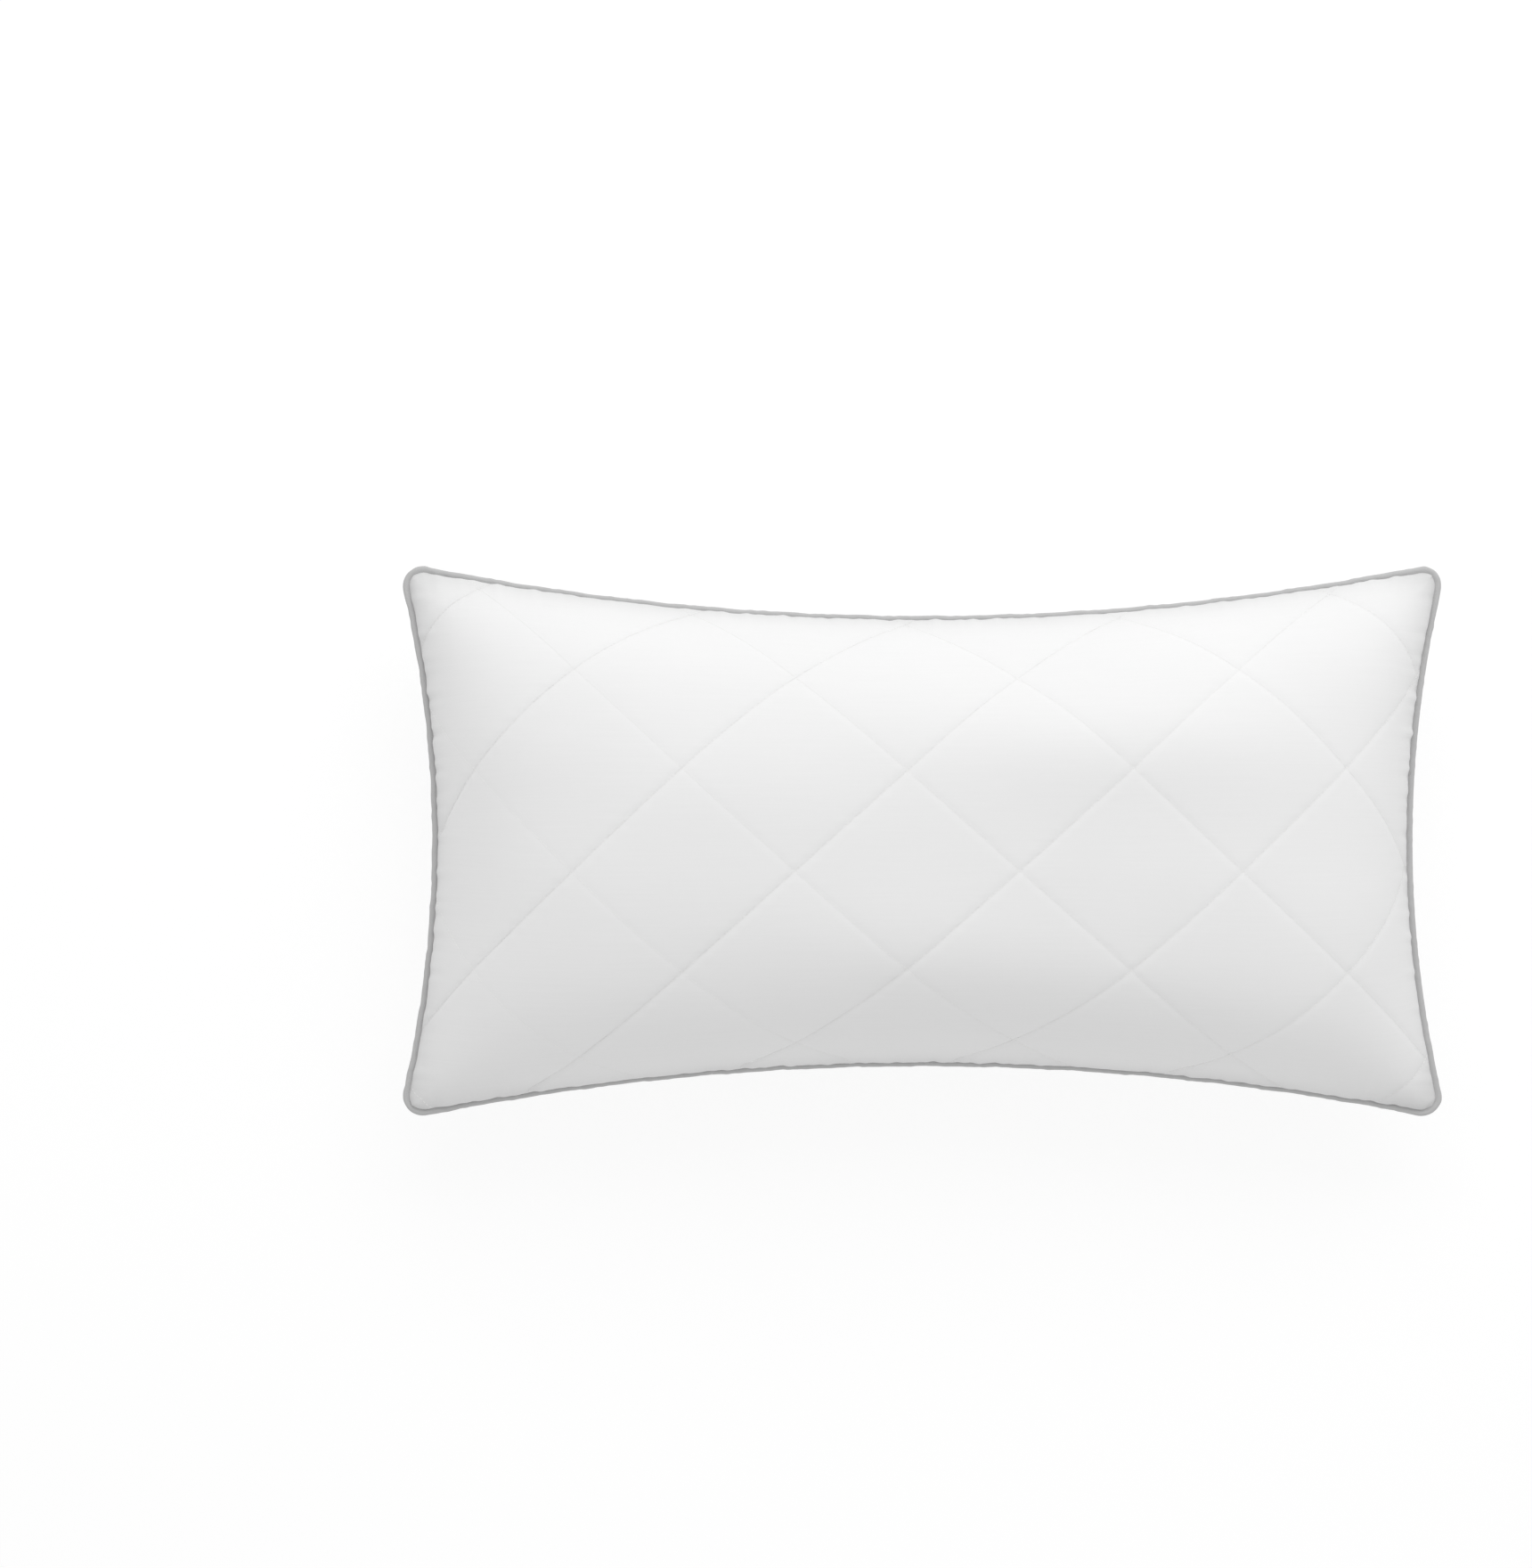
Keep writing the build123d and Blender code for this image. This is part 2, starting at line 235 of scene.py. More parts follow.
def upsample(points: Array, times: int) -> Array:
    """Refine a grid of points with smooth cubic curves through them.

    Args:
        points: Grid of rows, columns and coordinates.
        times: How many cells each cell becomes, each way.

    Returns:
        The finer grid.
    """
    for axis in (0, 1):
        p = np.moveaxis(points, axis, 0)
        ends = np.concatenate([2 * p[:1] - p[1:2], p, 2 * p[-1:] - p[-2:-1]])
        a, b, c, d = ends[:-3], ends[1:-2], ends[2:-1], ends[3:]
        fine = []
        for k in range(times):
            t = k / times
            bend, twist = 2 * a - 5 * b + 4 * c - d, 3 * b - a - 3 * c + d
            fine.append(0.5 * (2 * b + (c - a) * t + bend * t**2 + twist * t**3))
        dense = np.stack(fine, axis=1).reshape(-1, *p.shape[1:])
        points = np.moveaxis(np.concatenate([dense, p[-1:]]), 0, axis)
    return points


def grid_normals(points: Array) -> Array:
    """Unit normals of a grid whose columns run along X and rows along Y."""
    along = np.gradient(points, axis=1)
    up = np.gradient(points, axis=0)
    normal = np.cross(along, up)
    return normal / np.maximum(np.linalg.norm(normal, axis=-1, keepdims=True), 1e-12)


@dataclass
class StuffedFace:
    """The crowned surface of one face, and where each point of its flat cloth lies on it."""

    side: Face
    outline: Outline
    crown: float
    flat_x: float = CUT_X
    flat_y: float = CUT_Y
    power_x: float = 5.0
    power_y: float = 3.0
    fullness: float = 0.7
    flat_corner: float = 19.0 * MM
    seam_gap: float = 0.45 * MM
    zip_drop: float = 0.0
    drop_from: float = 0.6
    drop_power: int = 5
    drop_margin: float = 4.0 * MM
    drop_fade: float = 8.0 * MM

    def surface(self, s: Array, t: Array) -> Array:
        """Points of the crowned surface at shares s and t of the way to the edges."""
        corner_x, corner_y = self.outline.sharp
        inset = self.outline.panel_inset
        x = s * (self.outline.side_x(t * corner_y) - inset)
        y = t * (self.outline.side_y(s * corner_x) - inset)
        swell = np.clip((1 - np.abs(s) ** self.power_x) * (1 - np.abs(t) ** self.power_y), 0, 1)
        lift = self.seam_gap + self.crown * swell**self.fullness
        z = self.outline.seam_z + self.side.value * lift
        return np.stack([x, y, np.maximum(z, 0)], axis=-1)

    def spread(self, along_s: bool) -> Array:
        """Table that spaces points evenly by length along one direction.

        Args:
            along_s: True to space along X at each t, False along Y at each s.

        Returns:
            Table of shares, by the other direction's share and then by length.
        """
        fixed, moving = np.linspace(-1, 1, 81), np.linspace(-1, 1, 401)
        table = []
        for value in fixed:
            hold = np.full_like(moving, value)
            line = self.surface(moving, hold) if along_s else self.surface(hold, moving)
            steps = np.linalg.norm(np.diff(line, axis=0), axis=1)
            length = np.concatenate([[0], np.cumsum(steps)])
            length = length / length[-1] * 2 - 1
            table.append(np.interp(moving, length, moving))
        return np.array(table)

    def flat_grid(self, columns: int, rows: int) -> tuple[Array, Array]:
        """Flat cloth coordinates of a grid, with the corners rounded."""
        u = np.linspace(-self.flat_x / 2, self.flat_x / 2, columns + 1)
        v = np.linspace(-self.flat_y / 2, self.flat_y / 2, rows + 1)
        u, v = np.meshgrid(u, v)
        a = np.maximum(np.abs(u) - (self.flat_x / 2 - self.flat_corner), 0)
        b = np.maximum(np.abs(v) - (self.flat_y / 2 - self.flat_corner), 0)
        both = (a > 0) & (b > 0)
        pull = np.where(both, np.maximum(a, b) / np.maximum(np.hypot(a, b), 1e-9), 1.0)
        u = np.where(both, np.sign(u) * (np.abs(u) - a * (1 - pull)), u)
        v = np.where(both, np.sign(v) * (np.abs(v) - b * (1 - pull)), v)
        return u, v

    def drape(self, u: Array, v: Array) -> Array:
        """Where the flat cloth lies on the crowned surface.

        Args:
            u: Flat coordinates along X.
            v: Flat coordinates along Y.

        Returns:
            Points in space.
        """
        by_length_x, by_length_y = self.spread(True), self.spread(False)
        share_u, share_v = u / (self.flat_x / 2), v / (self.flat_y / 2)
        s, t = share_u, share_v
        for _ in range(DRAPE_STEPS):
            t = look_up(by_length_y, s, share_v)
            s = look_up(by_length_x, t, share_u)
        if self.zip_drop:
            near = np.clip((s - self.drop_from) / (1 - self.drop_from), 0, 1)
            reach = self.outline.zip_half + self.drop_margin
            ends = ease((reach - np.abs(t) * self.outline.sharp[1]) / self.drop_fade)
            s = s - near**self.drop_power * self.zip_drop * ends
        return self.surface(s, t)


# ---------------------------------------------------------------------------------------------
# Mesh helpers
# ---------------------------------------------------------------------------------------------


def link(name: str, mesh: bpy.types.Mesh) -> bpy.types.Object:
    """Make an object of a mesh at the origin and put it in the scene."""
    piece = bpy.data.objects.new(name, mesh)
    bpy.context.scene.collection.objects.link(piece)
    return piece


def add_mesh(name: str, points: Array, faces: Faces, smooth: bool = True) -> bpy.types.Object:
    """Make an object at the origin from points and faces.

    Args:
        name: Name of the piece.
        points: Its points.
        faces: Its faces, with outward winding.
        smooth: Whether the faces are shaded smooth.

    Returns:
        The new object, linked to the scene.
    """
    mesh = bpy.data.meshes.new(name)
    mesh.from_pydata([tuple(map(float, p)) for p in points], [], faces)
    mesh.polygons.foreach_set("use_smooth", [smooth] * len(mesh.polygons))
    mesh.update()
    return link(name, mesh)


def add_uv(piece: bpy.types.Object, coordinates: Array) -> None:
    """Store a UV map given by point, in metres of cloth."""
    layer = piece.data.uv_layers.new(name="cloth")
    corners = np.zeros(len(piece.data.loops), dtype=np.int32)
    piece.data.loops.foreach_get("vertex_index", corners)
    layer.data.foreach_set("uv", coordinates[corners].astype(np.float32).ravel())


def grid_faces(columns: int, rows: int, start: int = 0, flip: bool = False) -> Faces:
    """Faces of a grid of points laid row by row."""
    faces = []
    for j in range(rows):
        for i in range(columns):
            a = start + j * (columns + 1) + i
            quad = (a, a + 1, a + columns + 2, a + columns + 1)
            faces.append(quad[::-1] if flip else quad)
    return faces


def rim_indices(columns: int, rows: int) -> list[int]:
    """Indices of a grid's border points, anticlockwise from its first point."""
    width = columns + 1
    low = list(range(0, columns))
    right = [j * width + columns for j in range(rows)]
    top = [rows * width + i for i in range(columns, 0, -1)]
    left = [j * width for j in range(rows, 0, -1)]
    return low + right + top + left


def apply_modifiers(piece: bpy.types.Object) -> bpy.types.Object:
    """Turn a piece's evaluated shape into its plain mesh and remove its modifiers."""
    graph = bpy.context.evaluated_depsgraph_get()
    mesh, old = bpy.data.meshes.new_from_object(piece.evaluated_get(graph)), piece.data
    mesh.name = piece.name
    piece.modifiers.clear()
    piece.data = mesh
    bpy.data.meshes.remove(old)
    return piece


@dataclass
class ClothSettle:
    """Settles the cover's cloth over the stuffing, held at its seam."""

    frames: int = 26
    quality: int = 6
    pressure: float = 1.2
    hold: float = 0.35
    cap: float = 4.5 * MM
    mass: float = 0.25
    stretch: float = 25.0
    shear: float = 6.0
    bending: float = 0.6
    damping: float = 8.0
    air: float = 4.0

    def run(self, name: str, start: Array, flat: Array, flip: bool) -> Array:
        """Simulate one face of the cover.

        Args:
            name: Name for the scratch object.
            start: Grid of starting points on the crowned surface.
            flat: The same grid as flat cloth.
            flip: True where the face looks down.

        Returns:
            The settled grid, no further than the cap from where it started.
        """
        rows, columns = start.shape[0] - 1, start.shape[1] - 1
        points = start.reshape(-1, 3)
        piece = add_mesh(name, points, grid_faces(columns, rows, flip=flip))
        piece.shape_key_add(name="Basis")
        rest = piece.shape_key_add(name="flat")
        rest.data.foreach_set("co", flat.reshape(-1).astype(np.float32))
        group = piece.vertex_groups.new(name="hold")
        rim = set(rim_indices(columns, rows))
        group.add(sorted(rim), 1.0, "REPLACE")
        group.add([i for i in range(len(points)) if i not in rim], self.hold, "REPLACE")
        cloth = piece.modifiers.new("settle", "CLOTH")
        setting = cloth.settings
        setting.rest_shape_key = rest
        setting.vertex_group_mass = "hold"
        setting.pin_stiffness = 1.0
        setting.quality = self.quality
        setting.mass = self.mass
        setting.tension_stiffness = setting.compression_stiffness = self.stretch
        setting.shear_stiffness = self.shear
        setting.bending_stiffness = self.bending
        setting.tension_damping = setting.compression_damping = setting.shear_damping = self.damping
        setting.air_damping = self.air
        setting.use_pressure = True
        setting.uniform_pressure_force = self.pressure
        setting.effector_weights.gravity = 0
        cloth.collision_settings.use_collision = False
        scene = bpy.context.scene
        cloth.point_cache.frame_start, cloth.point_cache.frame_end = 1, self.frames
        scene.frame_start, scene.frame_end = 1, self.frames
        for frame in range(1, self.frames + 1):
            scene.frame_set(frame)
        settled = piece.evaluated_get(bpy.context.evaluated_depsgraph_get()).to_mesh()
        result = np.zeros(len(points) * 3, dtype=np.float32)
        settled.vertices.foreach_get("co", result)
        bpy.data.objects.remove(piece)
        scene.frame_set(1)
        move = result.reshape(-1, 3).astype(float) - points
        length = np.linalg.norm(move, axis=1, keepdims=True)
        soft = self.cap * np.tanh(length / self.cap) / np.maximum(length, 1e-9)
        mean, most = length.mean() / MM, length.max() / MM
        LOG.info("%s settled: mean move %.1f mm, most %.1f mm", name, mean, most)
        return (points + move * soft).reshape(start.shape)


# ---------------------------------------------------------------------------------------------
# Finishes
# ---------------------------------------------------------------------------------------------


class NodeBench:
    """A short way to add, set and join the nodes of one tree."""

    def __init__(self, tree: bpy.types.NodeTree) -> None:
        """Work on one tree."""
        self.tree = tree

    def add(self, kind: str, settings: dict | None = None, **inputs: object) -> bpy.types.Node:
        """Add a node.

        Args:
            kind: The node's type name.
            settings: Its own properties.
            **inputs: Values or sockets for its inputs, with underscores for spaces.

        Returns:
            The new node.
        """
        node = self.tree.nodes.new(kind)
        for key, value in (settings or {}).items():
            setattr(node, key, value)
        self.feed(node, **inputs)
        return node

    def put(self, socket: bpy.types.NodeSocket, value: object) -> None:
        """Set an input socket, or join another socket to it."""
        if isinstance(value, bpy.types.NodeSocket):
            self.tree.links.new(value, socket)
        else:
            socket.default_value = value

    def feed(self, node: bpy.types.Node, **inputs: object) -> None:
        """Set or join a node's inputs by name, with underscores for spaces."""
        for key, value in inputs.items():
            self.put(node.inputs[key.replace("_", " ")], value)

    def math(self, operation: str, *values: object) -> bpy.types.NodeSocket:
        """Add a Math node on numbers or sockets and give its result."""
        node = self.add("ShaderNodeMath", {"operation": operation})
        for socket, value in zip(node.inputs, values):
            self.put(socket, value)
        return node.outputs[0]

    def tint(self, colour: Colour, tone: bpy.types.NodeSocket) -> bpy.types.NodeSocket:
        """One colour made lighter and darker by a tone."""
        tint = self.add("ShaderNodeVectorMath", {"operation": "SCALE"}, Scale=tone)
        tint.inputs[0].default_value = colour[:3]
        return tint.outputs[0]

    def noise(self, place: bpy.types.NodeSocket, **inputs: float) -> bpy.types.NodeSocket:
        """Cloudy noise from nought to one at a place."""
        return self.add("ShaderNodeTexNoise", Vector=place, **inputs).outputs["Fac"]

    def bump(self, height: bpy.types.NodeSocket, depth: float, strength: float = 1.0) -> bpy.types.Node:
        """Add a bump of a depth in metres."""
        return self.add("ShaderNodeBump", Strength=strength, Distance=depth, Height=height)

    def own_place(self) -> bpy.types.NodeSocket:
        """Coordinates of the object itself."""
        return self.add("ShaderNodeTexCoord").outputs["Object"]

    def seen(self, there: float, otherwise: float) -> bpy.types.NodeSocket:
        """One value where the camera looks straight at it, and another for all other light."""
        ray = self.add("ShaderNodeLightPath").outputs["Is Camera Ray"]
        return self.math("MULTIPLY_ADD", ray, there - otherwise, otherwise)


def new_material(name: str) -> tuple[bpy.types.Material, NodeBench, bpy.types.Node]:
    """Start a material.

    Args:
        name: Name of the material.

    Returns:
        The material, its bench and its Principled shader.
    """
    material = bpy.data.materials.new(name)
    material.use_nodes = True
    return material, NodeBench(material.node_tree), material.node_tree.nodes["Principled BSDF"]


def new_group(name: str, inputs: dict[str, tuple[str, object]], outputs: dict[str, str]) -> tuple:
    """Start a shader node group with named sockets.

    Args:
        name: Name of the group.
        inputs: Socket type and default value by name.
        outputs: Socket type by name.

    Returns:
        The group, its bench, its input node and its output node.
    """
    group = bpy.data.node_groups.new(name, "ShaderNodeTree")
    for key, (kind, value) in inputs.items():
        socket = group.interface.new_socket(key, in_out="INPUT", socket_type=kind)
        if value is not None:
            socket.default_value = value
    for key, kind in outputs.items():
        group.interface.new_socket(key, in_out="OUTPUT", socket_type=kind)
    bench = NodeBench(group)
    return group, bench, bench.add("NodeGroupInput"), bench.add("NodeGroupOutput")


def woven_cloth_group() -> bpy.types.NodeTree:
    """Threads that cross, with thicker threads here and there and a faint mottle."""
    group, bench, given, out = new_group(
        "woven_cloth",
        {
            "Cloth": ("NodeSocketVector", None),
            "Across": ("NodeSocketFloat", 0.0004),
            "Along": ("NodeSocketFloat", 0.0004),
            "Slub": ("NodeSocketFloat", 0.5),
            "Mottle": ("NodeSocketFloat", 0.03),
        },
        {"Height": "NodeSocketFloat", "Tone": "NodeSocketFloat"},
    )
    split = bench.add("ShaderNodeSeparateXYZ", Vector=given.outputs["Cloth"])
    waves = []
    for axis, pitch in (("X", "Across"), ("Y", "Along")):
        turns = bench.math("DIVIDE", split.outputs[axis], given.outputs[pitch])
        waves.append(bench.math("SINE", bench.math("MULTIPLY", turns, 2 * math.pi)))
    cross = bench.math("MULTIPLY", *waves)
    stretch = bench.add("ShaderNodeVectorMath", {"operation": "MULTIPLY"})
    bench.put(stretch.inputs[0], given.outputs["Cloth"])
    bench.put(stretch.inputs[1], (14.0, 620.0, 14.0))
    slub = bench.noise(stretch.outputs[0], Scale=1.0, Detail=3.0, Roughness=0.6)
    streak = bench.math("SUBTRACT", slub, 0.5)
    cloud = bench.math("SUBTRACT", bench.noise(given.outputs["Cloth"], Scale=9.0, Detail=4.0), 0.5)
    cloud = bench.math("MULTIPLY", cloud, given.outputs["Mottle"])
    slubbed = bench.math("MULTIPLY", streak, given.outputs["Slub"])
    height = bench.math("MULTIPLY_ADD", slubbed, 2.0, bench.math("MULTIPLY", cross, 0.25))
    tone = bench.math("ADD", bench.math("ADD", 1.0, cloud), bench.math("MULTIPLY", slubbed, 0.09))
    bench.feed(out, Height=height, Tone=tone)
    return group


def quilt_crease_group(quilt: Quilting) -> bpy.types.NodeTree:
    """Narrow creases that the quilting thread pulls into the cloth, along both directions, with painted
    shade that darkens the cloth slightly in each crease.

    Args:
        quilt: The diamonds, which give where the lines lie and how tight each direction is.

    Returns:
        The group, with the cloth's flat coordinates and the crease's width as inputs.
    """
    group, bench, given, out = new_group(
        "quilt_crease",
        {"Cloth": ("NodeSocketVector", None), "Width": ("NodeSocketFloat", 1.5 * MM)},
        {"Height": "NodeSocketFloat", "Tone": "NodeSocketFloat"},
    )
    split = bench.add("ShaderNodeSeparateXYZ", Vector=given.outputs["Cloth"])
    p = bench.math("DIVIDE", bench.math("SUBTRACT", split.outputs["X"], quilt.cross_u), quilt.half_x)
    q = bench.math("DIVIDE", bench.math("SUBTRACT", split.outputs["Y"], quilt.cross_v), quilt.half_y)
    steep = math.hypot(1 / quilt.half_x, 1 / quilt.half_y)
    depths = []
    for operation, (middle, change) in (("SUBTRACT", quilt.rising_pull), ("ADD", quilt.falling_pull)):
        away = bench.math("DIVIDE", bench.math("PINGPONG", bench.math(operation, p, q), 1.0), steep)
        near = bench.math("SUBTRACT", 1.0, bench.math("DIVIDE", away, given.outputs["Width"]))
        pull = bench.math("MULTIPLY_ADD", split.outputs["X"], change / quilt.lean_reach, middle)
        depth = bench.math("POWER", bench.math("MAXIMUM", near, 0.0), 1.6)
        depths.append(bench.math("MULTIPLY", depth, pull))
    crease = bench.math("MAXIMUM", *depths)
    uneven = bench.noise(given.outputs["Cloth"], Scale=260.0, Detail=2.0)
    crease = bench.math("MULTIPLY", crease, bench.math("MULTIPLY_ADD", uneven, 3.0, -0.5))
    # Painted shade: the Tone output darkens the cloth a little inside each crease.
    bench.feed(out, Height=bench.math("MULTIPLY", crease, -1.0),
               Tone=bench.math("MULTIPLY_ADD", crease, -0.012, 1.0))
    return group


def seam_shade_group(flat_x: float, flat_y: float) -> bpy.types.NodeTree:
    """Painted shade on the cover: darker where its cloth dives to the seam and gathers into the corners.

    Args:
        flat_x: Length of the flat cloth.
        flat_y: Height of the flat cloth.

    Returns:
        The group, with the cloth's flat coordinates and how far the painted shade reaches as inputs.
    """
    group, bench, given, out = new_group(
        "seam_shade",
        {
            "Cloth": ("NodeSocketVector", None),
            "Seam Reach": ("NodeSocketFloat", 14.0 * MM),
            "Corner Reach": ("NodeSocketFloat", 40.0 * MM),
            "Seam Share": ("NodeSocketFloat", 0.23),
            "Corner Share": ("NodeSocketFloat", 0.14),
        },
        {"Tone": "NodeSocketFloat"},
    )
    split = bench.add("ShaderNodeSeparateXYZ", Vector=given.outputs["Cloth"])
    gaps = [
        bench.math("SUBTRACT", size / 2, bench.math("ABSOLUTE", split.outputs[axis]))
        for axis, size in (("X", flat_x), ("Y", flat_y))
    ]
    turns = bench.math("DIVIDE", bench.math("MINIMUM", *gaps), given.outputs["Seam Reach"])
    seam = bench.math("EXPONENT", bench.math("MULTIPLY", turns, -1.0))
    seam = bench.math("MINIMUM", bench.math("MULTIPLY", seam, given.outputs["Seam Share"]), 0.12)
    away = bench.math("DIVIDE", bench.math("ADD", *gaps), given.outputs["Corner Reach"])
    corner = bench.math("EXPONENT", bench.math("MULTIPLY", bench.math("POWER", away, 2.0), -1.0))
    corner = bench.math("MULTIPLY", corner, given.outputs["Corner Share"])
    uneven = bench.math("ADD", bench.noise(given.outputs["Cloth"], Scale=14.0, Detail=2.0), 0.5)
    # Painted shade: the seam and corner darkening, made uneven by noise, is taken off the cloth's colour.
    shade = bench.math("MULTIPLY", bench.math("ADD", seam, corner), uneven)
    bench.feed(out, Tone=bench.math("SUBTRACT", 1.0, shade))
    return group


@dataclass(frozen=True)
class ClothGroups:
    """Node groups that the fabrics share."""

    weave: bpy.types.NodeTree
    crease: bpy.types.NodeTree
    seam: bpy.types.NodeTree


@dataclass(frozen=True)
class ClothFinish:
    """A woven fabric.

    Fabrics with a cloth map follow their threads; the rest use the object's own coordinates.
    """

    name: str
    colour: Colour
    weave: Weave
    roughness: float = 0.85
    depth: float = 0.00004
    slub: float = 0.4
    mottle: float = 0.03
    sheen: float = 0.12
    on_map: bool = True
    # Depth of the quilting crease bump; when set, painted shade in the creases, by the seam and in the
    # corners is also multiplied into the colour.
    crease: float = 0.0

    def build(self, groups: ClothGroups) -> bpy.types.Material:
        """Make the material.

        Args:
            groups: The shared node groups.

        Returns:
            The material.
        """
        material, bench, shader = new_material(self.name)
        if self.on_map:
            place = bench.add("ShaderNodeUVMap", {"uv_map": "cloth"}).outputs["UV"]
        else:
            place = bench.own_place()
        across, along = self.weave.value
        cloth = bench.add("ShaderNodeGroup", {"node_tree": groups.weave}, Cloth=place, Across=across,
                          Along=along, Slub=self.slub, Mottle=self.mottle)
        tone = cloth.outputs["Tone"]
        bump = bench.bump(cloth.outputs["Height"], self.depth)
        if self.crease:
            pulled = bench.add("ShaderNodeGroup", {"node_tree": groups.crease}, Cloth=place)
            shaded = bench.add("ShaderNodeGroup", {"node_tree": groups.seam}, Cloth=place)
            # Both group tones are painted shade: darker in the quilting creases, by the seam and into the
            # corners.
            tone = bench.math("MULTIPLY", tone, pulled.outputs["Tone"])
            tone = bench.math("MULTIPLY", tone, shaded.outputs["Tone"])
            fold = bench.bump(pulled.outputs["Height"], self.crease)
            bench.feed(bump, Normal=fold.outputs["Normal"])
        bench.feed(shader, Base_Color=bench.tint(self.colour, tone), Normal=bump.outputs["Normal"],
                   Roughness=self.roughness, Sheen_Weight=self.sheen, Sheen_Roughness=0.5,
                   Specular_IOR_Level=0.3)
        return material


@dataclass(frozen=True)
class FibreFinish:
    """Loose or twisted fibre, such as wadding, cord and sewing thread."""

    name: str
    colour: Colour
    scale: float
    roughness: float = 0.9
    depth: float = 0.0002
    sheen: float = 0.1

    def build(self) -> bpy.types.Material:
        """Make the material."""
        material, bench, shader = new_material(self.name)
        tangle = bench.noise(bench.own_place(), Scale=self.scale, Detail=5.0, Distortion=1.2)
        tone = bench.math("MULTIPLY_ADD", tangle, 0.12, 0.94)
        bump = bench.bump(tangle, self.depth)
        bench.feed(shader, Base_Color=bench.tint(self.colour, tone), Normal=bump.outputs["Normal"],
                   Roughness=self.roughness, Sheen_Weight=self.sheen)
        return material


@dataclass(frozen=True)
class HardFinish:
    """Moulded nylon or plated metal with fine handling marks."""

    name: str
    colour: Colour
    metallic: float
    roughness: float
    marks: float = 0.12
    depth: float = 0.00002

    def build(self) -> bpy.types.Material:
        """Make the material."""
        material, bench, shader = new_material(self.name)
        scuffs = bench.noise(bench.own_place(), Scale=900.0, Detail=4.0)
        tone = bench.math("MULTIPLY_ADD", scuffs, 0.1, 0.95)
        rough = bench.math("MULTIPLY_ADD", scuffs, self.marks, self.roughness - self.marks / 2)
        bump = bench.bump(scuffs, self.depth, strength=0.6)
        bench.feed(shader, Base_Color=bench.tint(self.colour, tone), Normal=bump.outputs["Normal"],
                   Roughness=rough, Metallic=self.metallic)
        return material


@dataclass
class Wardrobe:
    """Every finish of the pillow, by a plain name."""

    quilting: Quilting
    materials: dict[str, bpy.types.Material] = field(default_factory=dict)

    def __post_init__(self) -> None:
        """Build the materials once."""
        quilt = self.quilting
        groups = ClothGroups(
            woven_cloth_group(), quilt_crease_group(quilt), seam_shade_group(quilt.flat_x, quilt.flat_y)
        )
        white, grey = (0.86, 0.86, 0.86, 1.0), (0.51, 0.51, 0.51, 1.0)
        cloths = {
            # The cover's crease setting also brings painted shade in its creases, by the seam and in the
            # corners.
            "cover": ClothFinish("cover_sateen", white, Weave.SATEEN, sheen=0.18, crease=0.19 * MM),
            "lining": ClothFinish("lining_cloth", (0.82, 0.82, 0.81, 1.0), Weave.BIAS, on_map=False),
            "ticking": ClothFinish("inner_ticking", (0.88, 0.88, 0.87, 1.0), Weave.TWILL, on_map=False),
            "piping": ClothFinish("piping_cloth", grey, Weave.BIAS, depth=0.00008, slub=0.3,
                                  mottle=0.1),
            "tape": ClothFinish("zip_tape_twill", (0.74, 0.74, 0.73, 1.0), Weave.TWILL, depth=0.00009,
                                on_map=False),
            "label": ClothFinish("label_satin", (0.88, 0.88, 0.87, 1.0), Weave.SATEEN, roughness=0.45),
        }
        for key, finish in cloths.items():
            self.materials[key] = finish.build(groups)
        others = {
            "thread": FibreFinish("sewing_thread", (0.88, 0.88, 0.87, 1.0), 2400.0, 0.6, 0.00005),
            "wadding": FibreFinish("wadding_fibre", (0.9, 0.9, 0.89, 1.0), 160.0),
            "fill": FibreFinish("loose_fibre", (0.92, 0.92, 0.91, 1.0), 60.0, 0.95, 0.001),
            "core": FibreFinish("cotton_core", (0.8, 0.79, 0.76, 1.0), 700.0),
            "nylon": HardFinish("nylon_coil", (0.8, 0.8, 0.79, 1.0), 0.0, 0.35),
            "metal": HardFinish("plated_zinc", (0.62, 0.62, 0.63, 1.0), 1.0, 0.28),
        }
        for key, other in others.items():
            self.materials[key] = other.build()

    def dress(self, piece: bpy.types.Object, key: str) -> bpy.types.Object:
        """Give a piece one finish all over."""
        if not piece.material_slots:
            piece.data.materials.append(self.materials[key])
        for slot in piece.material_slots:
            slot.material = self.materials[key]
        return piece


# ---------------------------------------------------------------------------------------------
# The quilted cover
# ---------------------------------------------------------------------------------------------


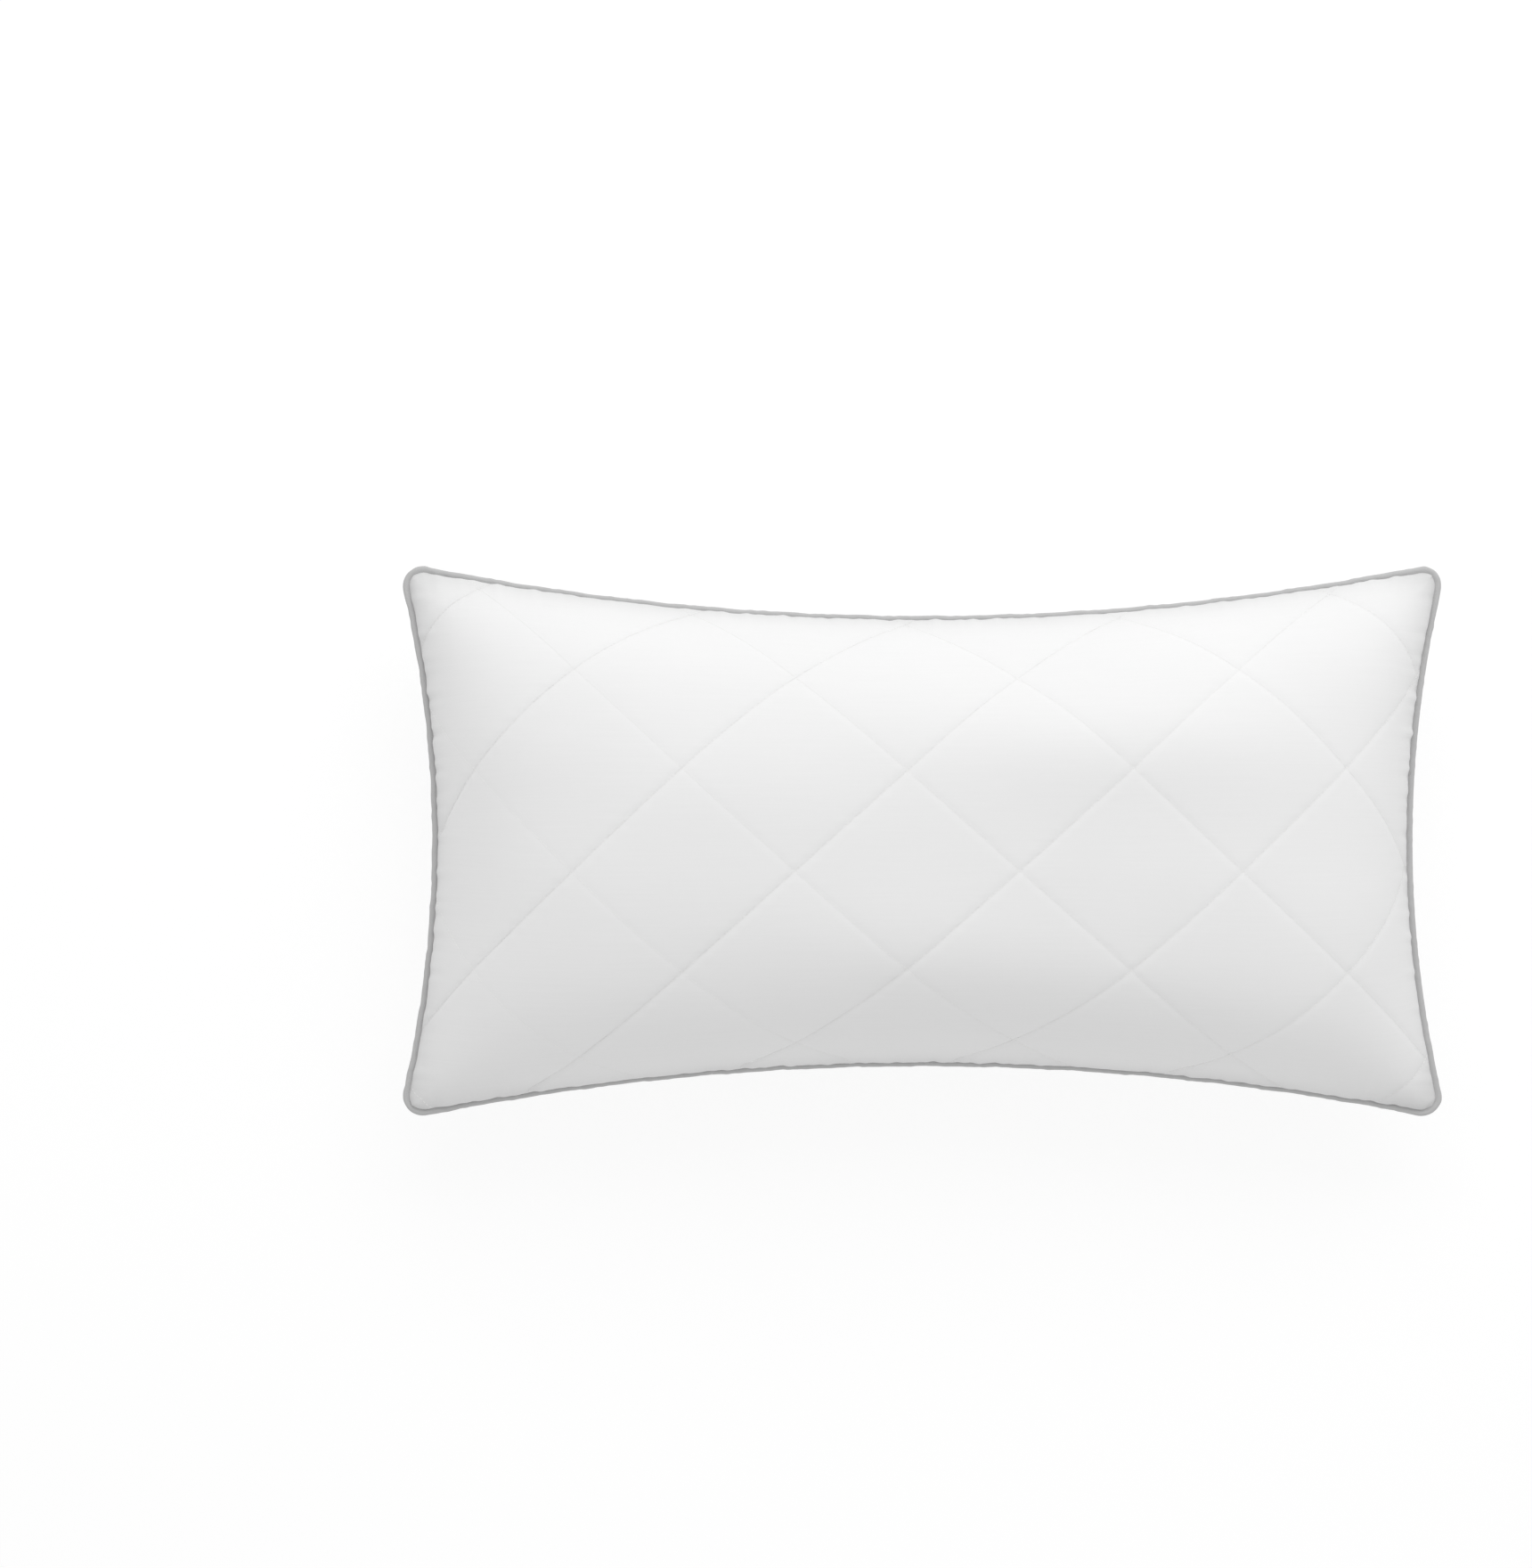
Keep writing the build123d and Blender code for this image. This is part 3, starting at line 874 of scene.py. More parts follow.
@dataclass
class Quilting:
    """Diamond quilting in flat cloth coordinates, and the relief that it gives the cover."""

    flat_x: float = CUT_X
    flat_y: float = CUT_Y
    half_x: float = CUT_X / 9.85
    half_y: float = CUT_Y / 5.8
    cross_u: float = 76.0 * MM
    cross_v: float = -24.0 * MM
    groove: float = 0.8 * MM
    groove_width: float = 2.3 * MM
    puff: float = 1.5 * MM
    gather: float = 0.12 * MM
    gather_pitch: float = 19.0 * MM
    gather_reach: float = 7.0 * MM
    puff_reach: float = 20.0 * MM
    stitch_pitch: float = 3.4 * MM
    stitch_dia: float = 0.55 * MM
    stitch_length: float = 2.7 * MM
    rising_pull: tuple[float, float] = (1.05, -0.3)
    falling_pull: tuple[float, float] = (0.55, 0.4)
    lean_reach: float = 450.0 * MM
    edge_fade: float = 16.0 * MM

    def offsets(self, u: Array, v: Array) -> tuple[Array, Array]:
        """Distances to the nearest rising and the nearest falling line."""
        p, q = (u - self.cross_u) / self.half_x, (v - self.cross_v) / self.half_y
        steep = math.hypot(1 / self.half_x, 1 / self.half_y)
        rising, falling = p - q, p + q
        return (
            (rising - 2 * np.round(rising / 2)) / steep,
            (falling - 2 * np.round(falling / 2)) / steep,
        )

    def relief(self, u: Array, v: Array, edge: Array) -> Array:
        """Height of the cover over its smooth shape.

        Args:
            u: Flat coordinates along X.
            v: Flat coordinates along Y.
            edge: Distances from the seam.

        Returns:
            Heights, negative in the grooves.
        """
        rising, falling = self.offsets(u, v)
        lean = np.clip(u / self.lean_reach, -1, 1)
        rise_depth, fall_depth = (
            middle + change * lean for middle, change in (self.rising_pull, self.falling_pull)
        )
        total = np.zeros_like(u)
        swell = np.ones_like(u)
        for distance, share, run in ((rising, rise_depth, u + v), (falling, fall_depth, u - v)):
            turns = run * 2 * math.pi
            gather = np.sin(turns / self.gather_pitch)
            gather += 0.6 * np.sin(turns / (1.7 * self.gather_pitch) + 5 * u)
            depth = self.groove * share * (1 + 0.25 * gather)
            total -= depth * np.exp(-((distance / self.groove_width) ** 2))
            total += self.gather * share * gather * np.exp(-((distance / self.gather_reach) ** 2))
            swell *= 1 - np.exp(-np.abs(distance) / self.puff_reach) * share
        total += self.puff * (swell - 0.5)
        return total * ease(edge / self.edge_fade)

    def lines(self, width: float, height: float, step: float) -> list[Array]:
        """Stitch lines across a flat panel.

        Args:
            width: Length of the panel along X.
            height: Length of the panel along Y.
            step: Distance between points of a line.

        Returns:
            Each line's flat points.
        """
        found = []
        for turn in (1, -1):
            direction = np.array([self.half_x, turn * self.half_y])
            direction /= np.linalg.norm(direction)
            for k in range(-LINES_EACH_WAY, LINES_EACH_WAY + 1):
                start = np.array([self.cross_u + 2 * k * self.half_x, self.cross_v])
                along = np.arange(-LINE_REACH, LINE_REACH, step)
                points = start + along[:, None] * direction
                inside = (np.abs(points[:, 0]) < width / 2) & (np.abs(points[:, 1]) < height / 2)
                if inside.sum() > 4:
                    found.append(points[inside])
        return found


def start_tree(name: str, *sizes: str) -> tuple:
    """Start a geometry node tree that sets something at each step of a line.

    Args:
        name: Name of the tree.
        *sizes: Names of its number inputs after the pitch.

    Returns:
        The tree, its bench, its input node and the node of evenly spaced points.
    """
    tree = bpy.data.node_groups.new(name, "GeometryNodeTree")
    tree.interface.new_socket("Geometry", in_out="INPUT", socket_type="NodeSocketGeometry")
    for key in ("Pitch", *sizes):
        tree.interface.new_socket(key, in_out="INPUT", socket_type="NodeSocketFloat")
    tree.interface.new_socket("Geometry", in_out="OUTPUT", socket_type="NodeSocketGeometry")
    bench = NodeBench(tree)
    given = bench.add("NodeGroupInput")
    curve = bench.add("GeometryNodeMeshToCurve", Mesh=given.outputs["Geometry"])
    spots = bench.add("GeometryNodeCurveToPoints", {"mode": "LENGTH"}, Curve=curve.outputs[0],
                      Length=given.outputs["Pitch"])
    return tree, bench, given, spots


def end_tree(bench: NodeBench, laid: bpy.types.Node, material: bpy.types.Material) -> None:
    """Make a tree's instances real, give them their finish and put them out.

    Args:
        bench: The tree's bench.
        laid: The node that lays the instances.
        material: Their finish.
    """
    real = bench.add("GeometryNodeRealizeInstances", Geometry=laid.outputs[0])
    finish = bench.add("GeometryNodeSetMaterial", Geometry=real.outputs[0], Material=material)
    bench.add("NodeGroupOutput", Geometry=finish.outputs[0])


def stitch_tree(material: bpy.types.Material) -> bpy.types.NodeTree:
    """Geometry nodes that lay a short thread capsule at each step of a line.

    Args:
        material: The thread's finish.

    Returns:
        The node group, with inputs for pitch, thread thickness and stitch length.
    """
    tree, bench, given, spots = start_tree("stitches", "Thread", "Length")
    capsule = bench.add("GeometryNodeMeshUVSphere", Segments=6, Rings=4, Radius=0.5)
    scale = bench.add("ShaderNodeCombineXYZ", X=given.outputs["Thread"], Y=given.outputs["Thread"],
                      Z=given.outputs["Length"])
    laid = bench.add("GeometryNodeInstanceOnPoints", Points=spots.outputs["Points"],
                     Instance=capsule.outputs[0], Rotation=spots.outputs["Rotation"],
                     Scale=scale.outputs[0])
    end_tree(bench, laid, material)
    return tree


def socket_id(tree: bpy.types.NodeTree, name: str) -> str:
    """Identifier of a tree's input by its name."""
    return next(
        item.identifier
        for item in tree.interface.items_tree
        if item.item_type == "SOCKET" and item.in_out == "INPUT" and item.name == name
    )


def run_tree(
    piece: bpy.types.Object, tree: bpy.types.NodeTree, values: dict[str, float]
) -> bpy.types.Object:
    """Run geometry nodes on a piece and keep the result as its plain mesh.

    Args:
        piece: The object that carries the guide lines.
        tree: The geometry node group.
        values: Its inputs by name.

    Returns:
        The same object with the finished mesh.
    """
    modifier = piece.modifiers.new(tree.name, "NODES")
    modifier.node_group = tree
    for name, value in values.items():
        modifier[socket_id(tree, name)] = value
    return apply_modifiers(piece)


def guide_lines(name: str, lines: list[Array]) -> bpy.types.Object:
    """Make an object of bare edges along lines of points."""
    points, edges = [], []
    for line in lines:
        start = len(points)
        points.extend(tuple(map(float, p)) for p in line)
        edges.extend((start + k, start + k + 1) for k in range(len(line) - 1))
    mesh = bpy.data.meshes.new(name)
    mesh.from_pydata(points, edges, [])
    return link(name, mesh)


@dataclass(frozen=True)
class Lump:
    """A low swelling where the fibre has gathered, or a hollow where it has not."""

    u: float
    v: float
    reach_u: float
    reach_v: float
    height: float
    lean: float = 0.0

    def lift(self, u: Array, v: Array) -> Array:
        """Height that the lump gives each point of the flat cloth."""
        across, along = u - self.u - self.lean * (v - self.v), v - self.v
        return self.height * np.exp(-((across / self.reach_u) ** 2) - (along / self.reach_v) ** 2)


FRONT_LUMPS = (
    Lump(-0.195, 0.020, 0.130, 0.085, 5.0 * MM, 0.3),
    Lump(0.150, 0.088, 0.150, 0.050, 8.0 * MM, 0.2),
    Lump(0.170, -0.060, 0.130, 0.070, -3.0 * MM),
    Lump(0.370, -0.055, 0.060, 0.120, 4.5 * MM),
    Lump(0.020, -0.110, 0.120, 0.060, 3.5 * MM, -0.4),
    Lump(-0.370, 0.090, 0.055, 0.090, 3.5 * MM),
)
PUCKER_WAVES = ((0.0109, 0.4, 0.5), (0.0167, 2.2, 0.7), (0.0271, 4.0, 0.8))
BACK_LUMPS = (
    Lump(-0.300, -0.120, 0.090, 0.060, 4.0 * MM, 0.3),
    Lump(0.330, 0.130, 0.080, 0.060, 4.0 * MM),
    Lump(-0.330, 0.140, 0.060, 0.070, -3.0 * MM, 0.2),
    Lump(0.280, -0.150, 0.110, 0.050, 3.5 * MM, -0.3),
)


@dataclass
class QuiltedPanel:
    """One face of the cover: shell cloth, wadding and lining, stitched in diamonds."""

    face: StuffedFace
    quilting: Quilting
    settle: ClothSettle
    fill: tuple[Lump, ...]
    columns: int = 94
    rows: int = 58
    refine: int = 4
    thickness: float = 4.5 * MM
    pucker: float = 0.75 * MM
    pucker_reach: float = 8.0 * MM
    overhang: float = 3.8 * MM
    overhang_reach: float = 7.0 * MM
    overhang_fade: float = 30.0 * MM
    lump_fade: float = 60.0 * MM
    seam_rings: float = 4.0
    seam_step: float = 0.5 * MM
    edge_thickness: float = 0.5 * MM
    lining_gap: float = 2.2 * MM
    lining_from: float = 20.0 * MM
    floor_gap: float = 0.8 * MM
    stitch_margin: float = 14.0 * MM
    stitch_lift: float = 0.05 * MM

    def __post_init__(self) -> None:
        """Settle the cloth and work out the finished outer surface."""
        front = self.face.side is Face.FRONT
        name = "front" if front else "back"
        u, v = self.face.flat_grid(self.columns, self.rows)
        start = self.held_seam(self.face.drape(u, v))
        flat = np.stack([u, v, np.full_like(u, self.face.outline.seam_z)], axis=-1)
        self.base = self.settle.run(name, start, flat, not front)
        fine_u, fine_v = self.face.flat_grid(self.columns * self.refine, self.rows * self.refine)
        self.smooth = upsample(self.base, self.refine)
        self.normal = grid_normals(self.smooth) * self.face.side.value
        self.flat_uv = np.stack([fine_u, fine_v], axis=-1)
        edge = self.edge_distance(fine_u, fine_v)
        lift = self.quilting.relief(fine_u, fine_v, edge)
        lift += self.puckers(fine_u, fine_v, edge) + self.lumps(fine_u, fine_v, edge)
        self.outer = self.smooth + self.normal * lift[..., None]
        self.outer += self.spill(fine_u, fine_v, edge)
        self.outer[..., 2] = np.maximum(self.outer[..., 2], 0)

    def edge_distance(self, u: Array, v: Array) -> Array:
        """Distance from the seam in the flat cloth, round its corners too."""
        gap_u, gap_v = self.face.flat_x / 2 - np.abs(u), self.face.flat_y / 2 - np.abs(v)
        radius = self.face.flat_corner
        turn = radius - np.hypot(np.maximum(radius - gap_u, 0), np.maximum(radius - gap_v, 0))
        rounded = (gap_u < radius) & (gap_v < radius)
        return np.maximum(np.where(rounded, turn, np.minimum(gap_u, gap_v)), 0)

    def spill(self, u: Array, v: Array, edge: Array) -> Array:
        """Sideways bulge of the cloth over the piping: most on the long sides, least at the corners.

        Args:
            u: Flat coordinates along X.
            v: Flat coordinates along Y.
            edge: Distances from the seam.

        Returns:
            Moves in X, Y and Z.
        """
        near_u = np.exp(-(self.face.flat_x / 2 - np.abs(u)) / self.overhang_fade)
        near_v = np.exp(-(self.face.flat_y / 2 - np.abs(v)) / self.overhang_fade)
        share = 0.25 * near_u + 0.75 * near_v - 0.55 * (near_u * near_v)
        falloff = (edge / self.overhang_reach) ** 1.5 * np.exp(1.5 * (1 - edge / self.overhang_reach))
        keep = 1 - self.face.outline.zip_mask(self.smooth[..., 0], self.smooth[..., 1])
        amount = self.overhang * share * falloff * keep
        total = np.maximum(near_u + near_v, 1e-9)
        out = [np.sign(u) * near_u / total, np.sign(v) * near_v / total, np.zeros_like(u)]
        return np.stack(out, axis=-1) * amount[..., None]

    def held_seam(self, grid: Array) -> Array:
        """Put the border of a grid on the rounded, wandering seam, easing the wander inwards.

        The back's border beside the zip stays where the zip has dropped it.
        """
        outline, grid = self.face.outline, grid.copy()
        rows, columns = grid.shape[:2]
        j, i = np.meshgrid(np.arange(rows), np.arange(columns), indexing="ij")
        depth = np.minimum(np.minimum(i, columns - 1 - i), np.minimum(j, rows - 1 - j))
        border = depth == 0
        if self.face.zip_drop:
            border &= outline.zip_mask(grid[..., 0], grid[..., 1]) <= 0
        seam = outline.loop(outline.panel_inset, self.seam_step)
        nearest = np.argmin(np.linalg.norm(grid[border][:, None, :2] - seam, axis=2), axis=1)
        grid[border, :2] = seam[nearest]
        grid[border, 2] = outline.seam_z + self.face.side.value * self.face.seam_gap
        share = np.clip(1 - depth / self.seam_rings, 0, 1)
        return grid + outline.wander(grid[..., 0], grid[..., 1]) * share[..., None]

    def puckers(self, u: Array, v: Array, edge: Array) -> Array:
        """Short gathers that run in from the seam."""
        near_long = (self.face.flat_y / 2 - np.abs(v)) < (self.face.flat_x / 2 - np.abs(u))
        along = np.where(near_long, u, v + 1.7)
        strength = np.where(near_long, 0.7, 1.0)
        wave = np.zeros_like(u)
        side = np.where(near_long, np.sign(v), np.sign(u)) * 1.3
        for length, phase, share in PUCKER_WAVES:
            wave += share * np.sin(2 * math.pi * along / length + phase + side)
        patch = 0.6 + 0.4 * np.sin(along * 23 + 1.0) * np.sin(along * 9.1 + 0.5)
        falloff = (edge / self.pucker_reach) * np.exp(1 - edge / self.pucker_reach)
        return self.pucker * wave * strength * patch * falloff

    def lumps(self, u: Array, v: Array, edge: Array) -> Array:
        """Low, wide unevenness of the fibre inside."""
        turn = 0.8 if self.face.side is Face.FRONT else 2.9
        broad = np.sin(9.1 * u + turn) * np.cos(12.7 * v - 0.4 * turn)
        broad += 0.6 * np.sin(17.3 * u - 14.2 * v + turn)
        close = np.sin(41.0 * u + 23.0 * v + turn) * np.sin(37.0 * v - 29.0 * u + 2 * turn)
        total = 0.8 * MM * broad + 0.5 * MM * close
        for lump in self.fill:
            total = total + lump.lift(u, v)
        return total * ease(edge / self.lump_fade)

    def at(self, flat: Array, lift: float) -> Array:
        """Points on the finished surface.

        Args:
            flat: Flat coordinates, one pair per point.
            lift: Height above the surface.

        Returns:
            Points in space.
        """
        row = flat[:, 1] / (self.face.flat_y / 2)
        column = flat[:, 0] / (self.face.flat_x / 2)
        points = [look_up(self.outer[..., k], row, column) for k in range(3)]
        normals = [look_up(self.normal[..., k], row, column) for k in range(3)]
        return np.stack(points, axis=-1) + lift * np.stack(normals, axis=-1)

    def build(self, name: str) -> bpy.types.Object:
        """Make the panel as one closed padded piece.

        Args:
            name: Name of the piece.

        Returns:
            The panel, with a cloth map on its outer surface.
        """
        front = self.face.side is Face.FRONT
        rows, columns = self.outer.shape[0] - 1, self.outer.shape[1] - 1
        outer = self.outer.reshape(-1, 3)
        pick = (slice(None, None, self.refine), slice(None, None, self.refine))
        edge = self.edge_distance(*np.moveaxis(self.flat_uv[pick], -1, 0))
        thick = np.minimum(self.thickness, self.edge_thickness + 0.5 * edge)
        thick += self.lining_gap * (edge > self.lining_from)
        inner = (self.smooth[pick] - self.normal[pick] * thick[..., None]).reshape(-1, 3)
        inner[:, 2] = np.maximum(inner[:, 2], self.floor_gap)
        faces = grid_faces(columns, rows, flip=not front)
        faces += grid_faces(self.columns, self.rows, start=len(outer), flip=front)
        fine, coarse = rim_indices(columns, rows), rim_indices(self.columns, self.rows)
        for k in range(len(coarse)):
            a, b = coarse[k] + len(outer), coarse[(k + 1) % len(coarse)] + len(outer)
            edge_run = [fine[(self.refine * k + m) % len(fine)] for m in range(self.refine, -1, -1)]
            ring = (*edge_run, a, b)
            faces.append(ring if front else ring[::-1])
        piece = add_mesh(name, np.vstack([outer, inner]), faces)
        flat = self.flat_uv.reshape(-1, 2)
        add_uv(piece, np.vstack([flat, self.flat_uv[pick].reshape(-1, 2)]))
        return piece

    def stitches(self, name: str, tree: bpy.types.NodeTree) -> bpy.types.Object:
        """Lay the quilting thread along the grooves."""
        width, height = self.face.flat_x - self.stitch_margin, self.face.flat_y - self.stitch_margin
        flat = self.quilting.lines(width, height, 1.0 * MM)
        lines = [self.at(line, self.stitch_lift) for line in flat]
        for line in lines:
            line[:, 2] = np.maximum(line[:, 2], self.quilting.stitch_dia)
        sizes = {"Pitch": self.quilting.stitch_pitch, "Thread": self.quilting.stitch_dia,
                 "Length": self.quilting.stitch_length}
        return run_tree(guide_lines(name, lines), tree, sizes)


# ---------------------------------------------------------------------------------------------
# Piping, zip and label
# ---------------------------------------------------------------------------------------------


@dataclass
class Piping:
    """Grey cloth tube round the seam, slightly gathered where it turns and wanders."""

    outline: Outline
    step: float = 1.7 * MM
    sides: int = 14
    radius: float = 2.45 * MM
    tail: float = 2.6 * MM
    crease: float = 0.16 * MM

    def path(self) -> Array:
        """Centre line of the tube, closed."""
        flat = self.outline.loop(self.outline.piping_dia / 2, self.step)
        points = np.column_stack([flat, np.full(len(flat), self.outline.seam_z)])
        return points + self.outline.wander(points[:, 0], points[:, 1])

    def build(self, name: str) -> bpy.types.Object:
        """Make the tube, with its tail tucked between the two faces.

        Args:
            name: Name of the piece.

        Returns:
            The closed tube, with a cloth map turned to the bias.
        """
        path = self.path()
        count = len(path)
        ahead, behind = np.roll(path, -1, axis=0), np.roll(path, 1, axis=0)
        along = ahead - behind
        along /= np.linalg.norm(along, axis=1, keepdims=True)
        up = np.array([0.0, 0.0, 1.0])
        out = np.cross(along, up)
        out /= np.linalg.norm(out, axis=1, keepdims=True)
        lift = np.cross(out, along)
        ring_path = np.vstack([path, path[:1]])
        length = np.concatenate([[0], np.cumsum(np.linalg.norm(np.diff(ring_path, axis=0), axis=1))])
        turns = length[:-1] / length[-1] * 2 * math.pi
        points = []
        for k in range(self.sides):
            angle = 2 * math.pi * k / self.sides - math.pi
            inward = max(0.0, -math.cos(angle)) ** 7
            fold = np.sin(181 * turns + 2.0 * angle + 1.1 * np.sin(23 * turns))
            fold += 0.7 * np.sin(307 * turns - 1.3 * angle + 1.7 * np.sin(31 * turns + 1.0))
            size = self.radius + self.crease * fold * (0.55 + 0.45 * np.sin(47 * turns + angle))
            reach = (size * math.cos(angle) - self.tail * inward)[:, None]
            rise = (size * math.sin(angle))[:, None]
            points.append(path + out * reach + lift * rise)
        ring = np.stack(points, axis=1).reshape(-1, 3)
        around = self.radius * 2 * math.pi / self.sides
        faces, cloth, corners = [], [], ((0, 0), (1, 0), (1, 1), (0, 1))
        for j in range(count):
            for k in range(self.sides):
                a, b = j * self.sides + k, j * self.sides + (k + 1) % self.sides
                c, d = (b + self.sides) % len(ring), (a + self.sides) % len(ring)
                faces.append((a, d, c, b))
                cloth += [(length[j + m], (k + n) * around) for m, n in corners]
        piece = add_mesh(name, ring, faces)
        along, across = np.array(cloth).T
        bias = np.column_stack([along + across, along - across]) / math.sqrt(2)
        piece.data.uv_layers.new(name="cloth").data.foreach_set("uv", bias.astype(np.float32).ravel())
        return piece


def coil_tree(material: bpy.types.Material) -> bpy.types.NodeTree:
    """Geometry nodes that set one bent loop of nylon at each tooth of a coil.

    Args:
        material: The nylon.

    Returns:
        The node group, with inputs for pitch, filament, depth and height.
    """
    tree, bench, given, spots = start_tree("coil", "Filament", "Depth", "Height")
    loop = bench.add("GeometryNodeCurvePrimitiveCircle", Resolution=10, Radius=1.0)
    shape = bench.add("ShaderNodeCombineXYZ", X=given.outputs["Depth"], Y=given.outputs["Height"],
                      Z=1.0)
    squeezed = bench.add("GeometryNodeTransform", Geometry=loop.outputs[0], Scale=shape.outputs[0])
    bead = bench.add("GeometryNodeCurvePrimitiveCircle", Resolution=6,
                     Radius=given.outputs["Filament"])
    tooth = bench.add("GeometryNodeCurveToMesh", Curve=squeezed.outputs[0],
                      Profile_Curve=bead.outputs[0])
    laid = bench.add("GeometryNodeInstanceOnPoints", Points=spots.outputs["Points"],
                     Instance=tooth.outputs[0], Rotation=spots.outputs["Rotation"])
    end_tree(bench, laid, material)
    return tree


@dataclass
class SideZip:
    """Nylon zip let into the short side, just under the piping."""

    outline: Outline
    tape_depth: float = 7.1 * MM
    middle: float = -7.2 * MM
    coil_end: float = 152.6 * MM
    pitch: float = 1.45 * MM
    filament: float = 0.32 * MM
    tooth_depth: float = 1.15 * MM
    tooth_height: float = 1.25 * MM
    offset: float = 1.35 * MM
    end_gap: float = 0.6 * MM

    def arc(self, height: float, shift: float) -> Array:
        """Line along the short side at a height from the middle of the zip."""
        far_x = self.outline.far[0]
        radius = self.outline.short_radius + self.tape_depth
        along = np.arange(-self.coil_end + self.end_gap + shift, self.coil_end - self.end_gap, 1.0 * MM)
        turn = along / self.outline.short_radius
        z = np.full_like(turn, self.outline.seam_z + self.middle + height)
        return np.column_stack([far_x - radius * np.cos(turn), radius * np.sin(turn), z])

    def coils(self, tree: bpy.types.NodeTree) -> list[bpy.types.Object]:
        """Make both coils, meshed with each other like a closed zip."""
        sizes = {"Pitch": self.pitch, "Filament": self.filament, "Depth": self.tooth_depth,
                 "Height": self.tooth_height}
        pieces = []
        for name, side, shift in (("front", 1, 0.0), ("back", -1, self.pitch / 2)):
            guide = guide_lines(f"zip_teeth_{name}", [self.arc(side * self.offset, shift)])
            pieces.append(run_tree(guide, tree, sizes))
        return pieces


@dataclass
class ZipHardware:
    """The slider and its pull, with rounded edges as die-cast pieces have."""

    bevel: float = 0.22 * MM
    segments: int = 3
    weld: float = 0.002 * MM
    flat_angle: float = 4.0
    edge_angle: float = 30.0

    def build(self, name: str, node: bpy.types.Object) -> bpy.types.Object:
        """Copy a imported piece, join its loose triangles and round its edges.

        Args:
            name: Name of the new piece.
            node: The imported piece.

        Returns:
            The rounded piece.
        """
        mesh = bpy.data.meshes.new(name)
        work = bmesh.new()
        work.from_mesh(node.data)
        bmesh.ops.remove_doubles(work, verts=work.verts, dist=self.weld)
        bmesh.ops.dissolve_limit(work, angle_limit=math.radians(self.flat_angle), verts=work.verts,
                                 edges=work.edges)
        work.to_mesh(mesh)
        work.free()
        piece = link(name, mesh)
        bevel = piece.modifiers.new("round", "BEVEL")
        bevel.width, bevel.segments = self.bevel, self.segments
        bevel.limit_method, bevel.angle_limit = "ANGLE", math.radians(self.edge_angle)
        piece = apply_modifiers(piece)
        piece.data.polygons.foreach_set("use_smooth", [True] * len(piece.data.polygons))
        piece.data.set_sharp_from_angle(angle=math.radians(self.edge_angle))
        return piece


@dataclass
class CareLabel:
    """Blank satin tab sewn into the seam on the left, lying against the back."""

    panel: QuiltedPanel
    width: float = 40.0 * MM
    length: float = 46.0 * MM
    centre_v: float = -25.0 * MM
    start: float = 3.0 * MM
    lift: float = 0.7 * MM
    curl: float = 3.0 * MM
    thick: float = 0.25 * MM
    rows: int = 24
    columns: int = 20

    def build(self, name: str) -> bpy.types.Object:
        """Make the tab as a thin closed sheet."""
        rows, columns = self.rows, self.columns
        across = np.linspace(-self.width / 2, self.width / 2, columns + 1) + self.centre_v
        down = np.linspace(0, self.length, rows + 1)
        layers = []
        for extra in (self.thick, 0.0):
            grid = []
            for d in down:
                flat_u = -self.panel.face.flat_x / 2 + self.start + d
                share = d / self.length
                flat = np.column_stack([np.full_like(across, flat_u), across])
                wave = self.curl * share**2 * (0.7 + 0.3 * math.sin(3 * share))
                grid.append(self.panel.at(flat, self.lift + extra + wave))
            layers.append(np.array(grid).reshape(-1, 3))
        faces = grid_faces(columns, rows)
        faces += grid_faces(columns, rows, start=len(layers[0]), flip=True)
        ring = rim_indices(columns, rows)
        for k, a in enumerate(ring):
            b = ring[(k + 1) % len(ring)]
            faces.append((b, a, a + len(layers[0]), b + len(layers[0])))
        piece = add_mesh(name, np.vstack(layers), faces)
        v, u = np.meshgrid(across, down)
        add_uv(piece, np.tile(np.stack([u, v], axis=-1).reshape(-1, 2), (2, 1)))
        return piece


# ---------------------------------------------------------------------------------------------
# Studio
# ---------------------------------------------------------------------------------------------


